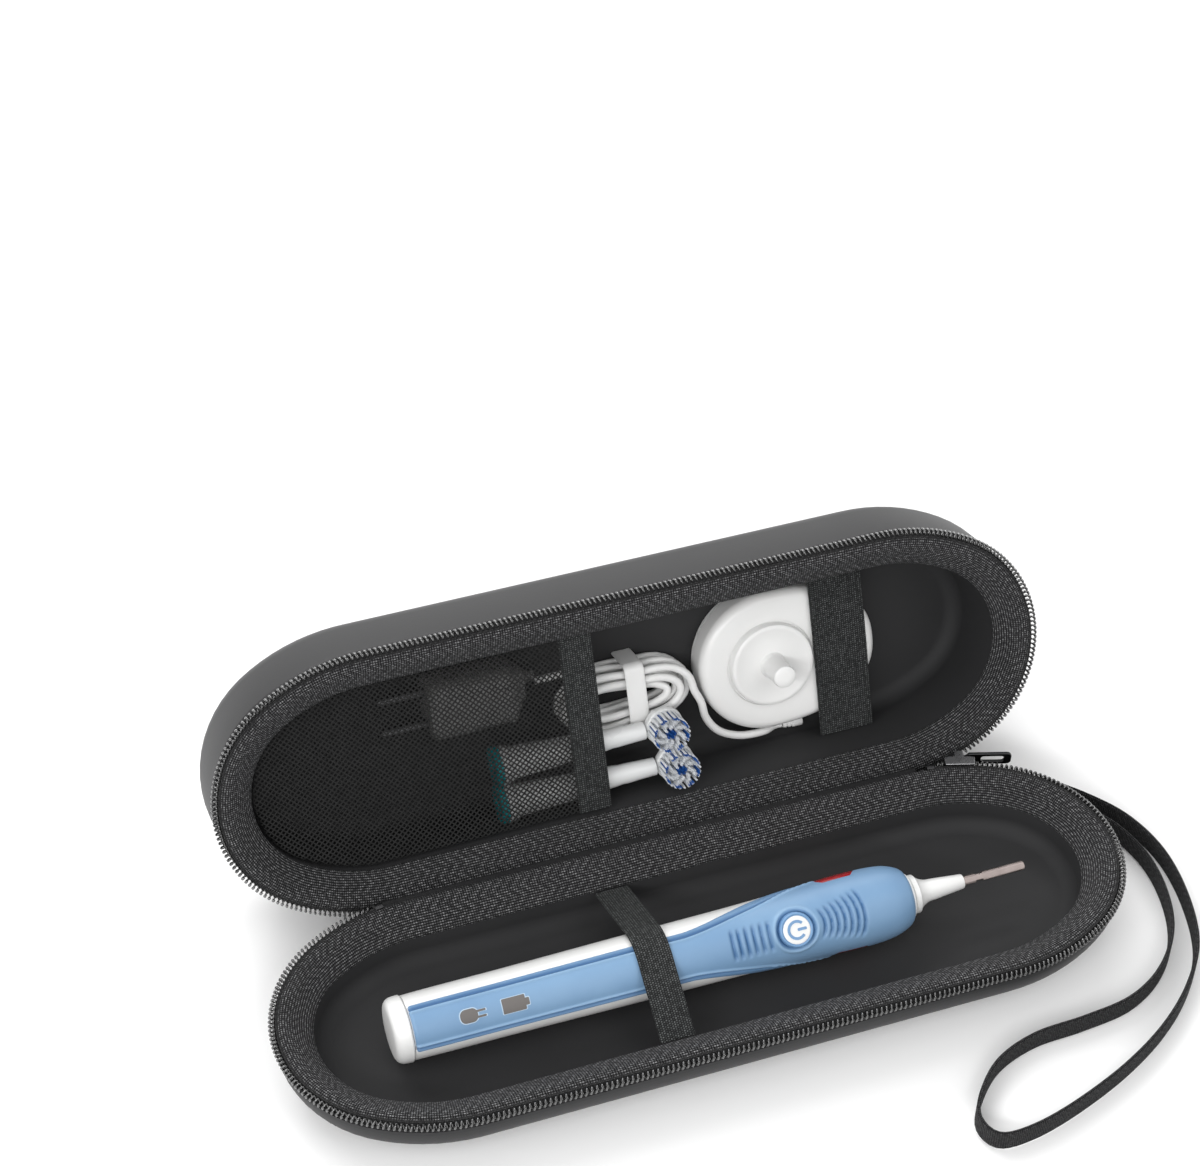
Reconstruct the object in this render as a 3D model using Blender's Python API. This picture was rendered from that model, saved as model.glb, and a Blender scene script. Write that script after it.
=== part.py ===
"""An electric toothbrush travel case, open, with the toothbrush, charger and spare heads it carries.

Metres, +Z up. The origin is the centre of the lower shell's flat bottom, +X runs along the case and
+Y points to the hinge. Most cross-sections are written as (inset, depth): inset is measured inwards
from the rim's outline, depth is measured from the rim plane into the shell.
"""

from math import acos, asin, atan2, ceil, cos, exp, hypot, pi, radians, sin, sqrt

import bmesh
import bpy
from mathutils import Vector

# Case outline: straight sides with ends drawn as three arcs. The room is what is left round its contents
END_ROOM = 0.02975
CHARGER_ROOM = 0.0066
TIP_NARROWS = 0.0032
SHOULDER_SPAN = radians(31.89)
SHOULDER_STEPS = 3
TIP_STEPS = 8

# Shells
BASE_DEPTH = 0.020
LID_CORNER = 0.013
WALL = 0.003
SHELL_EDGE_DEPTH = 0.004
CORNER_STEPS = 5
CLEARANCE = 0.0003

# Moulded trays
TRAY_THICKNESS = 0.0012
FLANGE_THICKNESS = 0.0011
FLANGE_EDGE = (0.0022, 0.0015)
FLANGE_KNEE = (0.0046, 0.0021)
FLANGE_LIP = (0.0106, 0.0062)
FLANGE_UNDERCUT = 0.0012
TRAY_CORNER = 0.005
TRAY_DRAFT = 0.0008

# Binding, zip tape and zip teeth
BINDING_THICKNESS = 0.0008
BINDING_CROWN = 0.0004
BINDING_OVERHANG = 0.0003
ZIP_TAPE_INSET = 0.0009
ZIP_TAPE_THICKNESS = 0.0009
ZIP_TOP_DEPTH = 0.0009
ZIP_FOOT_THICKNESS = 0.0008
TEETH_WIDTH = 0.0012
TEETH_HEIGHT = 0.0024
STOP_LENGTH = 0.0024
STOP_WALL = 0.0007

# Hinge
HINGE_INSET = 0.002
HINGE_DROP = 0.006
LID_REST_GAP = 0.00012
SPINE_PAST_STRAIGHT = 0.006
SPINE_THICKNESS = 0.0009
SPINE_LEAF = 0.0050
SPINE_TOP_DEPTH = 0.0082
SPINE_FOLD_RISE = 0.0005
SPINE_FOLD_REACH = 0.0008
SPINE_ZIP_GAP = 0.0036

# Zip slider and puller
SLIDER_ANGLE = radians(17)
SLIDER_LENGTH = 0.009
SLIDER_WALL = 0.0009
SLIDER_RUNNING_GAP = 0.0004
SLIDER_STEPS = 4
EAR_REACH = 0.0022
EAR_LENGTH = 0.0024
EAR_THICKNESS = 0.0009
PULLER_LENGTH = 0.016
PULLER_WIDTH = 0.0044
PULLER_THICKNESS = 0.0010
KNUCKLE_RADIUS = 0.0009
PIVOT_RADIUS = 0.0004
PIVOT_GAP = 0.0002
PULLER_SLOT_LENGTH = 0.0070
PULLER_SLOT_WIDTH = 0.0022

# Wrist strap
STRAP_WIDTH = 0.007
STRAP_THICKNESS = 0.0011
STRAP_POINT_GAP = 0.006
TAB_LENGTH = 0.011
TAB_DEPTH = 0.0062
TAB_ANGLE = radians(12.5)
STRAP_ROUTE = [
    (0.1105, 0.0345, 0.0088), (0.1195, 0.0312, 0.0066), (0.1300, 0.0235, 0.0046),
    (0.1385, 0.0120, 0.0040), (0.1425, -0.0030, 0.0040), (0.1415, -0.0200, 0.0040),
    (0.1365, -0.0370, 0.0040), (0.1270, -0.0500, 0.0040), (0.1140, -0.0610, 0.0040),
    (0.0980, -0.0700, 0.0040), (0.0800, -0.0770, 0.0040), (0.0650, -0.0808, 0.0040),
    (0.0545, -0.0805, 0.0040), (0.0515, -0.0735, 0.0040), (0.0560, -0.0655, 0.0040),
    (0.0650, -0.0575, 0.0040), (0.0780, -0.0530, 0.0040), (0.0940, -0.0520, 0.0040),
    (0.1090, -0.0498, 0.0040), (0.1215, -0.0430, 0.0040), (0.1310, -0.0320, 0.0040),
    (0.1360, -0.0185, 0.0040), (0.1372, -0.0035, 0.0040), (0.1335, 0.0105, 0.0040),
    (0.1258, 0.0205, 0.0046), (0.1175, 0.0272, 0.0066), (0.1092, 0.0318, 0.0088),
]

# Toothbrush: places along its axis are measured from the middle of the case
BRUSH_SIDE = -0.0025
BRUSH_ROLL = radians(44)
BRUSH_FOOT = -0.094
BRUSH_BODY = [
    (-0.0940, 0.0084), (-0.0925, 0.0093), (-0.0600, 0.0096), (-0.0200, 0.0100), (0.0080, 0.0102),
    (0.0300, 0.0107), (0.0440, 0.0110), (0.0530, 0.0104), (0.0580, 0.0087), (0.0605, 0.0066),
]
BRUSH_SIDES = 16
SHELL_UNDER = 0.0010
SHELL_WALL = 0.0015
GRIP_THICKNESS = 0.0007
GRIP_START = -0.0885
GRIP_END = 0.0596
GRIP_NARROW = radians(45)
GRIP_WIDE = radians(78)
GRIP_WIDENS = 0.034
LIGHT_START = 0.027
LIGHT_END = 0.048
LIGHT_THICKNESS = 0.0005
PATCH_STEPS = 10
FOOT_CAP_LENGTH = 0.0022
COLLAR_LENGTH = 0.0045
COLLAR_RADIUS = 0.0056
COLLAR_SHOULDER_SHARES = (0.6, 0.9)
NECK_RADIUS = 0.0033
NECK_TIP_RADIUS = 0.0021
NECK_END = 0.0773
SHAFT_END = 0.0965
SHAFT_RADIUS = 0.0014
SHAFT_GAP = 0.0003
SHAFT_SIDES = 12
BUTTON_PLACE = 0.0225
BUTTON_RADIUS = 0.0050
BUTTON_HEIGHT = 0.0030
BUTTON_STANDS = 0.0004
BUTTON_TRAVEL = 0.0006
BATTERY_RADIUS = 0.0049
BATTERY_LENGTH = 0.050
BATTERY_START = -0.074
MOTOR_RADIUS = 0.0050
MOTOR_START = -0.012
MOTOR_LENGTH = 0.044
MOTOR_DROP = 0.0012
BOARD_START = -0.076
BOARD_WIDTH = 0.008
BOARD_THICKNESS = 0.0009
COIL_LENGTH = 0.010
COIL_WALL = 0.0014
SEAL_WIDTH = 0.0014

# Bands
BASE_BAND_PLACE = -0.019
BASE_BAND_WIDTH = 0.010
LID_BAND_PAST_CHARGER = 0.022
LID_BAND_WIDTH = 0.017
BAND_THICKNESS = 0.0009
BAND_ARC_STEPS = 8

# Net pocket
NET_DEPTH = 0.008
NET_THICKNESS = 0.0008
NET_COLUMNS = 9
NET_ROWS = 6
NET_STRAND = 0.0014
NET_GAP = 0.0004
NET_END_ROOM = 0.0145
HEM_START = -0.0195
HEM_WIDTH = 0.0100
HEM_THICKNESS = 0.0013

# Charger
CHARGER_SIDE = 0.001
CHARGER_GAP = 0.0018
CHARGER_RADIUS = 0.022
CHARGER_TAIL = 0.034
CHARGER_HEIGHT = 0.0088
CHARGER_PLATE = 0.0012
CHARGER_EDGE = 0.0018
CHARGER_SIDES = 28
PLATFORM_RADIUS = 0.0130
PLATFORM_HEIGHT = 0.0022
PEG_RADIUS = 0.0036
PEG_HEIGHT = 0.0095
RELIEF_OFFSET = 0.010
RELIEF_LENGTH = 0.0060
RELIEF_WIDTH = 0.0034

# Cord
CORD_RADIUS = 0.0012
HANK_CENTRE = (0.0020, 0.0020)
HANK_HALF_LENGTH = 0.0210
HANK_HALF_WIDTH = 0.0117
HANK_TURN_STEP = 0.0038
HANK_LAYER_STEP = 0.0029
HANK_LAYERS = 4
HANK_TURNS_A_LAYER = 2.0625
HANK_POINTS = 24
HANK_CLIMB_REACH = 0.25
HANK_NEIGHBOURS = 6
HANK_WAIST_SHARE = 0.25
HANK_WAIST_PLACE = 0.003
HANK_WAIST_LENGTH = 0.010
TIE_WIDTH = 0.006
TIE_THICKNESS = 0.0009
CORD_ROUTE = [
    (0.0252, 0.0085, 0.0215), (0.0262, 0.0140, 0.0216), (0.0300, 0.0195, 0.0222),
    (0.0370, 0.0235, 0.0240), (0.0450, 0.0249, 0.0256),
]
CORD_POINT_GAP = 0.0026

# Plug
PLUG_LENGTH = 0.030
PLUG_WIDTH = 0.018
PLUG_HEIGHT = 0.016
PLUG_EDGE = 0.003
PLUG_RELIEF_LENGTH = 0.0045
PLUG_RELIEF_RADIUS = 0.0024
PIN_RADIUS = 0.0016
PIN_LENGTH = 0.014
PIN_SPACING = 0.010

# Spare heads
HEAD_ABOVE_TIE = 0.0034
HEAD_RING_RADIUS = 0.0060
HEAD_RING_LENGTH = 0.0050
HEAD_RING_START = -0.042
HEAD_STEM_RADIUS = 0.0050
HEAD_NECK_RADIUS = 0.0026
HEAD_DISC_PLACES = (0.0110, 0.0130)
HEAD_DISC_RADIUS = 0.0060
HEAD_DISC_THICKNESS = 0.0030
BRISTLE_RINGS = 7
BRISTLE_BACKING = 0.0008
BRISTLE_LENGTH = 0.0058
BRISTLE_DISC_RADIUS = 0.0056
BRISTLE_TIP_SHARE = 0.45
HEAD_SIDES = 14

# Drawing
ROUND_SIDES = 16
CUT_OVERRUN = 0.002
CREASE = radians(35)
RIBBON_CORNER = radians(60)
PATH_SAMPLES = 24
MILLIMETRES = 1000


def finish(name, colour, roughness, metallic=0.0):
    """A material with the part's own colour, roughness and metallic value."""
    made = bpy.data.materials.new(name)
    made.use_nodes = True
    shader = made.node_tree.nodes["Principled BSDF"]
    shader.inputs["Base Color"].default_value = (*colour, 1.0)
    shader.inputs["Roughness"].default_value = roughness
    shader.inputs["Metallic"].default_value = metallic
    made.diffuse_color = (*colour, 1.0)
    return made


def solid(name, points, faces, look, parent=None, crease=CREASE):
    """A closed object with its faces turned outwards."""
    mesh = bpy.data.meshes.new(name)
    mesh.from_pydata([tuple(p) for p in points], [], faces)
    work = bmesh.new()
    work.from_mesh(mesh)
    bmesh.ops.recalc_face_normals(work, faces=work.faces)
    work.to_mesh(mesh)
    work.free()
    mesh.materials.append(look)
    mesh.shade_smooth()
    mesh.set_sharp_from_angle(angle=crease)
    made = bpy.data.objects.new(name, mesh)
    bpy.context.collection.objects.link(made)
    made.parent = parent
    return made


def skin(rings, path_closed=False):
    """Points and faces of the surface that runs through closed rings with equal point counts."""
    count = len(rings[0])
    points = [p for ring in rings for p in ring]
    spans = len(rings) if path_closed else len(rings) - 1
    faces = []
    for r in range(spans):
        here = r * count
        there = ((r + 1) % len(rings)) * count
        for k in range(count):
            after = (k + 1) % count
            faces.append((here + k, here + after, there + after, there + k))
    if not path_closed:
        faces.append(tuple(range(count - 1, -1, -1)))
        faces.append(tuple(range((len(rings) - 1) * count, len(rings) * count)))
    return points, faces


def empty(name, location, rotation=(0.0, 0.0, 0.0), parent=None):
    """A frame that carries other objects."""
    made = bpy.data.objects.new(name, None)
    bpy.context.collection.objects.link(made)
    made.parent = parent
    made.location = location
    made.rotation_euler = rotation
    return made


def cut(target, cutter, operation="DIFFERENCE"):
    """A Boolean with a guide that stays out of the model."""
    cutter.hide_render = True
    cutter.display_type = "WIRE"
    modifier = target.modifiers.new(operation.lower(), "BOOLEAN")
    modifier.operation = operation
    modifier.object = cutter
    return target


# Sizes of the case, from what it holds
CASE_LENGTH = SHAFT_END - BRUSH_FOOT + 2 * END_ROOM
HALF_WIDTH = CHARGER_RADIUS + CHARGER_ROOM + FLANGE_LIP[0] + TRAY_DRAFT
HEAD_DEPTH = NET_DEPTH + NET_THICKNESS + NET_GAP + HEAD_RING_RADIUS
HANK_HEIGHT = 2 * CORD_RADIUS + (HANK_LAYERS - 1) * HANK_LAYER_STEP + 2 * CLEARANCE
LID_TRAY_FLOOR = HEAD_DEPTH + HEAD_ABOVE_TIE + TIE_THICKNESS + HANK_HEIGHT + CLEARANCE
LID_DEPTH = LID_TRAY_FLOOR + TRAY_THICKNESS + CLEARANCE + WALL

# Outline of the rim: the tip's arc is tangent inside the two shoulder arcs
TIP_RADIUS = HALF_WIDTH - TIP_NARROWS
SHOULDER_RADIUS = (HALF_WIDTH - TIP_RADIUS * cos(SHOULDER_SPAN)) / (1 - cos(SHOULDER_SPAN))
END_LENGTH = TIP_RADIUS + (SHOULDER_RADIUS - TIP_RADIUS) * sin(SHOULDER_SPAN)
STRAIGHT_END = CASE_LENGTH / 2 - END_LENGTH
SPINE_LENGTH = 2 * (STRAIGHT_END + SPINE_PAST_STRAIGHT)

# Places along the lid
CHARGER_X = HANK_CENTRE[0] + HANK_HALF_LENGTH + CORD_RADIUS + CHARGER_GAP + CHARGER_RADIUS
LID_BAND_PLACE = CHARGER_X + LID_BAND_PAST_CHARGER
RELIEF_PLACE = CHARGER_X + RELIEF_OFFSET
NET_START = NET_END_ROOM - CASE_LENGTH / 2


def open_angle():
    """How far the lid opens until its rounded back edge comes down to the surface."""
    across = LID_CORNER - HINGE_INSET
    along = LID_DEPTH - LID_CORNER + HINGE_DROP
    drop = BASE_DEPTH - HINGE_DROP - LID_CORNER - LID_REST_GAP
    return atan2(across, along) + acos(-drop / hypot(across, along))


LID_OPEN = open_angle()


def arc_stations(centre, radius, first, last, steps):
    """Points on an arc with their outward normals; angles run clockwise from +Y."""
    stations = []
    for k in range(steps + 1):
        angle = first + (last - first) * k / steps
        normal = Vector((sin(angle), cos(angle), 0.0))
        stations.append((centre + normal * radius, normal))
    return stations


def end_stations(side, first_angle=0.0):
    """The three arcs of one end; side is +1 at the right and -1 at the left."""
    turn = 0.0 if side > 0 else pi
    drop = HALF_WIDTH - SHOULDER_RADIUS
    near = Vector((side * STRAIGHT_END, side * drop, 0.0))
    middle = Vector((side * (CASE_LENGTH / 2 - TIP_RADIUS), 0.0, 0.0))
    far = Vector((side * STRAIGHT_END, -side * drop, 0.0))
    trim = first_angle if side > 0 else 0.0
    late = first_angle if side < 0 else 0.0
    tip_from = turn + SHOULDER_SPAN
    tip_to = turn + pi - SHOULDER_SPAN
    stations = arc_stations(near, SHOULDER_RADIUS, turn + trim, tip_from, SHOULDER_STEPS)
    stations += arc_stations(middle, TIP_RADIUS, tip_from, tip_to, TIP_STEPS)[1:]
    stations += arc_stations(far, SHOULDER_RADIUS, tip_to, turn + pi - late, SHOULDER_STEPS)[1:]
    return stations


OUTLINE = end_stations(1) + end_stations(-1)
ZIP_START_ANGLE = asin((SPINE_LENGTH / 2 + SPINE_ZIP_GAP - STRAIGHT_END) / SHOULDER_RADIUS)
ZIP_PATH = end_stations(1, ZIP_START_ANGLE) + end_stations(-1, ZIP_START_ANGLE)
SHOULDER_CENTRE = Vector((STRAIGHT_END, HALF_WIDTH - SHOULDER_RADIUS, 0.0))


class Side:
    """One half of the case: turns x, y and depth into the coordinates of its frame."""

    def __init__(self, sign, origin, parent):
        self.sign = sign
        self.origin = origin
        self.parent = parent

    def at(self, x, y, depth):
        return self.origin + Vector((x, y, self.sign * depth))

    def on(self, station, inset, depth):
        point, normal = station
        place = point - normal * inset
        return self.at(place.x, place.y, depth)


def bowl(name, side, profile, look):
    """A solid turned round the outline through (inset, depth) pairs, closed at both floors."""
    rings = [[side.on(station, inset, depth) for station in OUTLINE] for inset, depth in profile]
    points, faces = skin(rings)
    return solid(name, points, faces, look, side.parent)


def trim_band(name, side, section, path, closed, look):
    """A closed section carried along the rim."""
    rings = [[side.on(station, inset, depth) for inset, depth in section] for station in path]
    points, faces = skin(rings, path_closed=closed)
    return solid(name, points, faces, look, side.parent)


def corner(centre, radius, first, last, steps):
    """Arc in a cross-section; the angle is 0 towards the outline and 90 degrees towards the floor."""
    places = []
    for k in range(steps + 1):
        angle = first + (last - first) * k / steps
        places.append((centre[0] - radius * cos(angle), centre[1] + radius * sin(angle)))
    return places


def distinct(places, least=CLEARANCE / 10):
    """The same list without points that repeat the one before."""
    kept = [places[0]]
    for place in places[1:]:
        if hypot(place[0] - kept[-1][0], place[1] - kept[-1][1]) > least:
            kept.append(place)
    return kept


def shell_profile(depth, radius):
    """Outer and inner wall of a shell, from the outer floor over the edge to the inner floor."""
    centre = (radius, depth - radius)
    outside = corner(centre, radius, pi / 2, 0.0, CORNER_STEPS)
    inside = corner(centre, radius - WALL, 0.0, pi / 2, CORNER_STEPS)
    edge = [(0.0, SHELL_EDGE_DEPTH), (WALL, SHELL_EDGE_DEPTH)]
    return distinct(outside + edge + inside)


def slope_offset(first, second, distance):
    """How far a sloping line moves to lie at a distance nearer the rim plane."""
    run = second[0] - first[0]
    fall = second[1] - first[1]
    size = hypot(run, fall)
    return distance * fall / size, -distance * run / size


def tray_floor(depth):
    """Depth of a tray's upper floor face."""
    return depth - WALL - CLEARANCE - TRAY_THICKNESS


def tray_profile(depth):
    """A moulded tray with its flange, from the under floor over the flange to the upper floor."""
    floor = tray_floor(depth)
    foot = FLANGE_LIP[0] + TRAY_DRAFT
    centre = (foot + TRAY_CORNER, floor - TRAY_CORNER)
    under = corner(centre, TRAY_CORNER + TRAY_THICKNESS, pi / 2, 0.0, CORNER_STEPS - 2)
    upper = corner(centre, TRAY_CORNER, 0.0, pi / 2, CORNER_STEPS - 2)
    flange_under = [
        (FLANGE_LIP[0] - TRAY_THICKNESS / 2, FLANGE_LIP[1] + FLANGE_THICKNESS),
        (FLANGE_KNEE[0], FLANGE_KNEE[1] + FLANGE_THICKNESS + CLEARANCE),
        (FLANGE_KNEE[0] - FLANGE_UNDERCUT, FLANGE_EDGE[1] + FLANGE_THICKNESS),
        (FLANGE_EDGE[0], FLANGE_EDGE[1] + FLANGE_THICKNESS),
    ]
    return under + flange_under + [FLANGE_EDGE, FLANGE_KNEE, FLANGE_LIP] + upper


def binding_section():
    """The woven binding over the flange, with a slight crown."""
    low = slope_offset(FLANGE_KNEE, FLANGE_LIP, CLEARANCE)
    top = slope_offset(FLANGE_KNEE, FLANGE_LIP, CLEARANCE + BINDING_THICKNESS)
    crown = slope_offset(FLANGE_KNEE, FLANGE_LIP, CLEARANCE + BINDING_THICKNESS + BINDING_CROWN)
    middle = ((FLANGE_KNEE[0] + FLANGE_LIP[0]) / 2, (FLANGE_KNEE[1] + FLANGE_LIP[1]) / 2)
    return [
        (FLANGE_EDGE[0], FLANGE_EDGE[1] - CLEARANCE),
        (FLANGE_KNEE[0] + low[0], FLANGE_KNEE[1] + low[1]),
        (FLANGE_LIP[0] + low[0] + BINDING_OVERHANG, FLANGE_LIP[1] + low[1]),
        (FLANGE_LIP[0] + top[0] + BINDING_OVERHANG, FLANGE_LIP[1] + top[1]),
        (middle[0] + crown[0], middle[1] + crown[1]),
        (FLANGE_KNEE[0] + top[0], FLANGE_KNEE[1] + top[1]),
        (FLANGE_EDGE[0], FLANGE_EDGE[1] - CLEARANCE - BINDING_THICKNESS),
    ]


def zip_tape_section():
    """An upright tape with a foot sewn down between the shell's edge and the flange."""
    back = ZIP_TAPE_INSET + ZIP_TAPE_THICKNESS
    seat = SHELL_EDGE_DEPTH - CLEARANCE
    foot = seat - ZIP_FOOT_THICKNESS
    return [
        (ZIP_TAPE_INSET, ZIP_TOP_DEPTH),
        (back, ZIP_TOP_DEPTH),
        (back, foot),
        (WALL, foot),
        (WALL, seat),
        (ZIP_TAPE_INSET, seat),
    ]


TEETH_IN = ZIP_TAPE_INSET - CLEARANCE
TEETH_OUT = TEETH_IN - TEETH_WIDTH
TEETH_BOTTOM = ZIP_TOP_DEPTH + TEETH_HEIGHT


def teeth_section():
    """The closed row of teeth that the tape carries on its outer face."""
    bevel = TEETH_WIDTH / 3
    return [
        (TEETH_OUT, ZIP_TOP_DEPTH + bevel),
        (TEETH_OUT + bevel, ZIP_TOP_DEPTH),
        (TEETH_IN, ZIP_TOP_DEPTH),
        (TEETH_IN, TEETH_BOTTOM),
        (TEETH_OUT + bevel, TEETH_BOTTOM),
        (TEETH_OUT, TEETH_BOTTOM - bevel),
    ]


def case_half(prefix, side, depth, radius, looks):
    """Shell, tray, binding, zip tape and teeth of one half."""
    bowl(prefix + "_shell", side, shell_profile(depth, radius), looks["leather"])
    bowl(prefix + "_tray", side, tray_profile(depth), looks["lining"])
    trim_band(prefix + "_binding", side, binding_section(), OUTLINE, True, looks["webbing"])
    trim_band(prefix + "_zip_tape", side, zip_tape_section(), ZIP_PATH, False, looks["webbing"])
    trim_band(prefix + "_zip_teeth", side, teeth_section(), ZIP_PATH, False, looks["teeth"])


def zip_stop(name, side, station_side, looks):
    """A crimped stop past the last tooth, beside the spine's end."""
    angle = ZIP_START_ANGLE - STOP_LENGTH / SHOULDER_RADIUS
    angles = (angle - CLEARANCE / SHOULDER_RADIUS, ZIP_START_ANGLE - CLEARANCE / SHOULDER_RADIUS)
    rings = []
    for turn in angles:
        normal = Vector((station_side * sin(turn), cos(turn), 0.0))
        centre = Vector((station_side * SHOULDER_CENTRE.x, SHOULDER_CENTRE.y, 0.0))
        station = (centre + normal * SHOULDER_RADIUS, normal)
        low = (TEETH_OUT, ZIP_TOP_DEPTH)
        high = (ZIP_TAPE_INSET + ZIP_TAPE_THICKNESS, SHELL_EDGE_DEPTH - STOP_WALL)
        square = [low, (high[0], low[1]), high, (low[0], high[1])]
        rings.append([side.on(station, inset, depth) for inset, depth in square])
    points, faces = skin(rings)
    return solid(name, points, faces, looks["metal"], side.parent)


def ribbon(path, thickness):
    """Both faces of a strip whose centre line is a list of 2-D points."""
    left = []
    right = []
    for k, here in enumerate(path):
        before = Vector(path[max(k - 1, 0)])
        after = Vector(path[min(k + 1, len(path) - 1)])
        into = (Vector(here) - before).normalized() if k else (after - Vector(here)).normalized()
        out = (after - Vector(here)).normalized() if k < len(path) - 1 else into
        along = (into + out).normalized()
        across = Vector((-along.y, along.x))
        reach = thickness / 2 / max(across.dot(Vector((-into.y, into.x))), cos(RIBBON_CORNER))
        left.append(Vector(here) + across * reach)
        right.append(Vector(here) - across * reach)
    return left + right[::-1]


def strip_across(name, places, thickness, start, end, look, parent=None):
    """A strip in the YZ plane, as wide as the stretch of X from start to end."""
    section = ribbon(places, thickness)
    rings = [[Vector((x, p.x, p.y)) for p in section] for x in (start, end)]
    points, faces = skin(rings)
    return solid(name, points, faces, look, parent)


def opened(y, z):
    """Where a point of the closed lid lies with the lid open, in the YZ plane."""
    reach = y - (HALF_WIDTH - HINGE_INSET)
    rise = z - (BASE_DEPTH - HINGE_DROP)
    turned_y = reach * cos(LID_OPEN) + rise * sin(LID_OPEN)
    turned_z = -reach * sin(LID_OPEN) + rise * cos(LID_OPEN)
    return turned_y + HALF_WIDTH - HINGE_INSET, turned_z + BASE_DEPTH - HINGE_DROP


def hinge_spine(looks):
    """The flexible strip glued to both back walls, which folds between the two rims."""
    face = HALF_WIDTH + CLEARANCE + SPINE_THICKNESS / 2
    low = BASE_DEPTH - SPINE_TOP_DEPTH
    leaf = SHELL_EDGE_DEPTH + CLEARANCE
    places = [
        (face, low - SPINE_LEAF + SPINE_FOLD_RISE),
        (face, low),
        (face + SPINE_FOLD_REACH, low + SPINE_FOLD_RISE),
        (face + 2 * SPINE_FOLD_REACH + SPINE_FOLD_RISE, low),
        opened(face, BASE_DEPTH + leaf),
        opened(face, BASE_DEPTH + leaf + SPINE_LEAF),
    ]
    half = SPINE_LENGTH / 2
    return strip_across("hinge_spine", places, SPINE_THICKNESS, -half, half, looks["leather"])


def shoulder_point(angle, inset, depth):
    """A point beside the right-hand shoulder arc, in the base's frame."""
    normal = Vector((sin(angle), cos(angle), 0.0))
    place = SHOULDER_CENTRE + normal * (SHOULDER_RADIUS - inset)
    return Vector((place.x, place.y, BASE_DEPTH - depth))


def swept_on_shoulder(name, section, first, last, steps, look, parent, carrier):
    """A section carried along the shoulder arc, in the coordinates of the object that carries it."""
    rings = []
    for k in range(steps + 1):
        angle = first + (last - first) * k / steps
        rings.append([shoulder_point(angle, i, d) - carrier for i, d in section])
    points, faces = skin(rings)
    return solid(name, points, faces, look, parent)


def zip_slider(looks):
    """A slider that runs on the shoulder arc, with ears for its puller."""
    pivot = Vector((SHOULDER_CENTRE.x, SHOULDER_CENTRE.y, 0.0))
    frame = empty("slider_frame", pivot)
    inner = TEETH_OUT - SLIDER_RUNNING_GAP
    outer = inner - SLIDER_WALL
    roof = ZIP_TOP_DEPTH - SLIDER_RUNNING_GAP
    top = roof - SLIDER_WALL + CLEARANCE
    sill = TEETH_BOTTOM + SLIDER_RUNNING_GAP
    bottom = sill + SLIDER_WALL
    lip = ZIP_TAPE_INSET + ZIP_TAPE_THICKNESS - CLEARANCE
    section = [
        (outer, top), (lip, top), (lip, roof), (inner, roof),
        (inner, sill), (-CLEARANCE, sill), (-CLEARANCE, bottom), (outer, bottom),
    ]
    half = SLIDER_LENGTH / 2 / SHOULDER_RADIUS
    first = SLIDER_ANGLE - half
    last = SLIDER_ANGLE + half
    metal = looks["metal"]
    body = swept_on_shoulder("zip_slider", section, first, last, SLIDER_STEPS, metal, frame, pivot)
    ear = EAR_LENGTH / 2 / SHOULDER_RADIUS
    ear_tip = outer - EAR_REACH
    ear_root = outer + SLIDER_WALL / 2
    for name, low, high in (("upper", top, top + EAR_THICKNESS), ("lower", bottom - EAR_THICKNESS, bottom)):
        square = [(ear_tip, low), (ear_root, low), (ear_root, high), (ear_tip, high)]
        guide = swept_on_shoulder("guide_ear_" + name, square, SLIDER_ANGLE - ear, SLIDER_ANGLE + ear, 1,
                                  metal, frame, pivot)
        cut(body, guide, "UNION")
    place = shoulder_point(SLIDER_ANGLE, outer - EAR_REACH / 2, 0.0)
    hole = upright_rod("guide_pivot_hole", place, PIVOT_RADIUS + PIVOT_GAP,
                       BASE_DEPTH - bottom - CUT_OVERRUN, BASE_DEPTH - top + CUT_OVERRUN,
                       metal, frame, pivot)
    cut(body, hole)
    zip_puller(place, top + EAR_THICKNESS, bottom - EAR_THICKNESS, top, bottom, frame, pivot, looks)


def upright_rod(name, place, radius, low, high, look, parent, carrier, sides=ROUND_SIDES):
    """A rod along Z at a place in the XY plane."""
    rings = []
    for z in (low, high):
        ring = []
        for k in range(sides):
            turn = 2 * pi * k / sides
            ring.append(Vector((place.x + radius * cos(turn), place.y + radius * sin(turn), z)) - carrier)
        rings.append(ring)
    points, faces = skin(rings)
    return solid(name, points, faces, look, parent)


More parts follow.
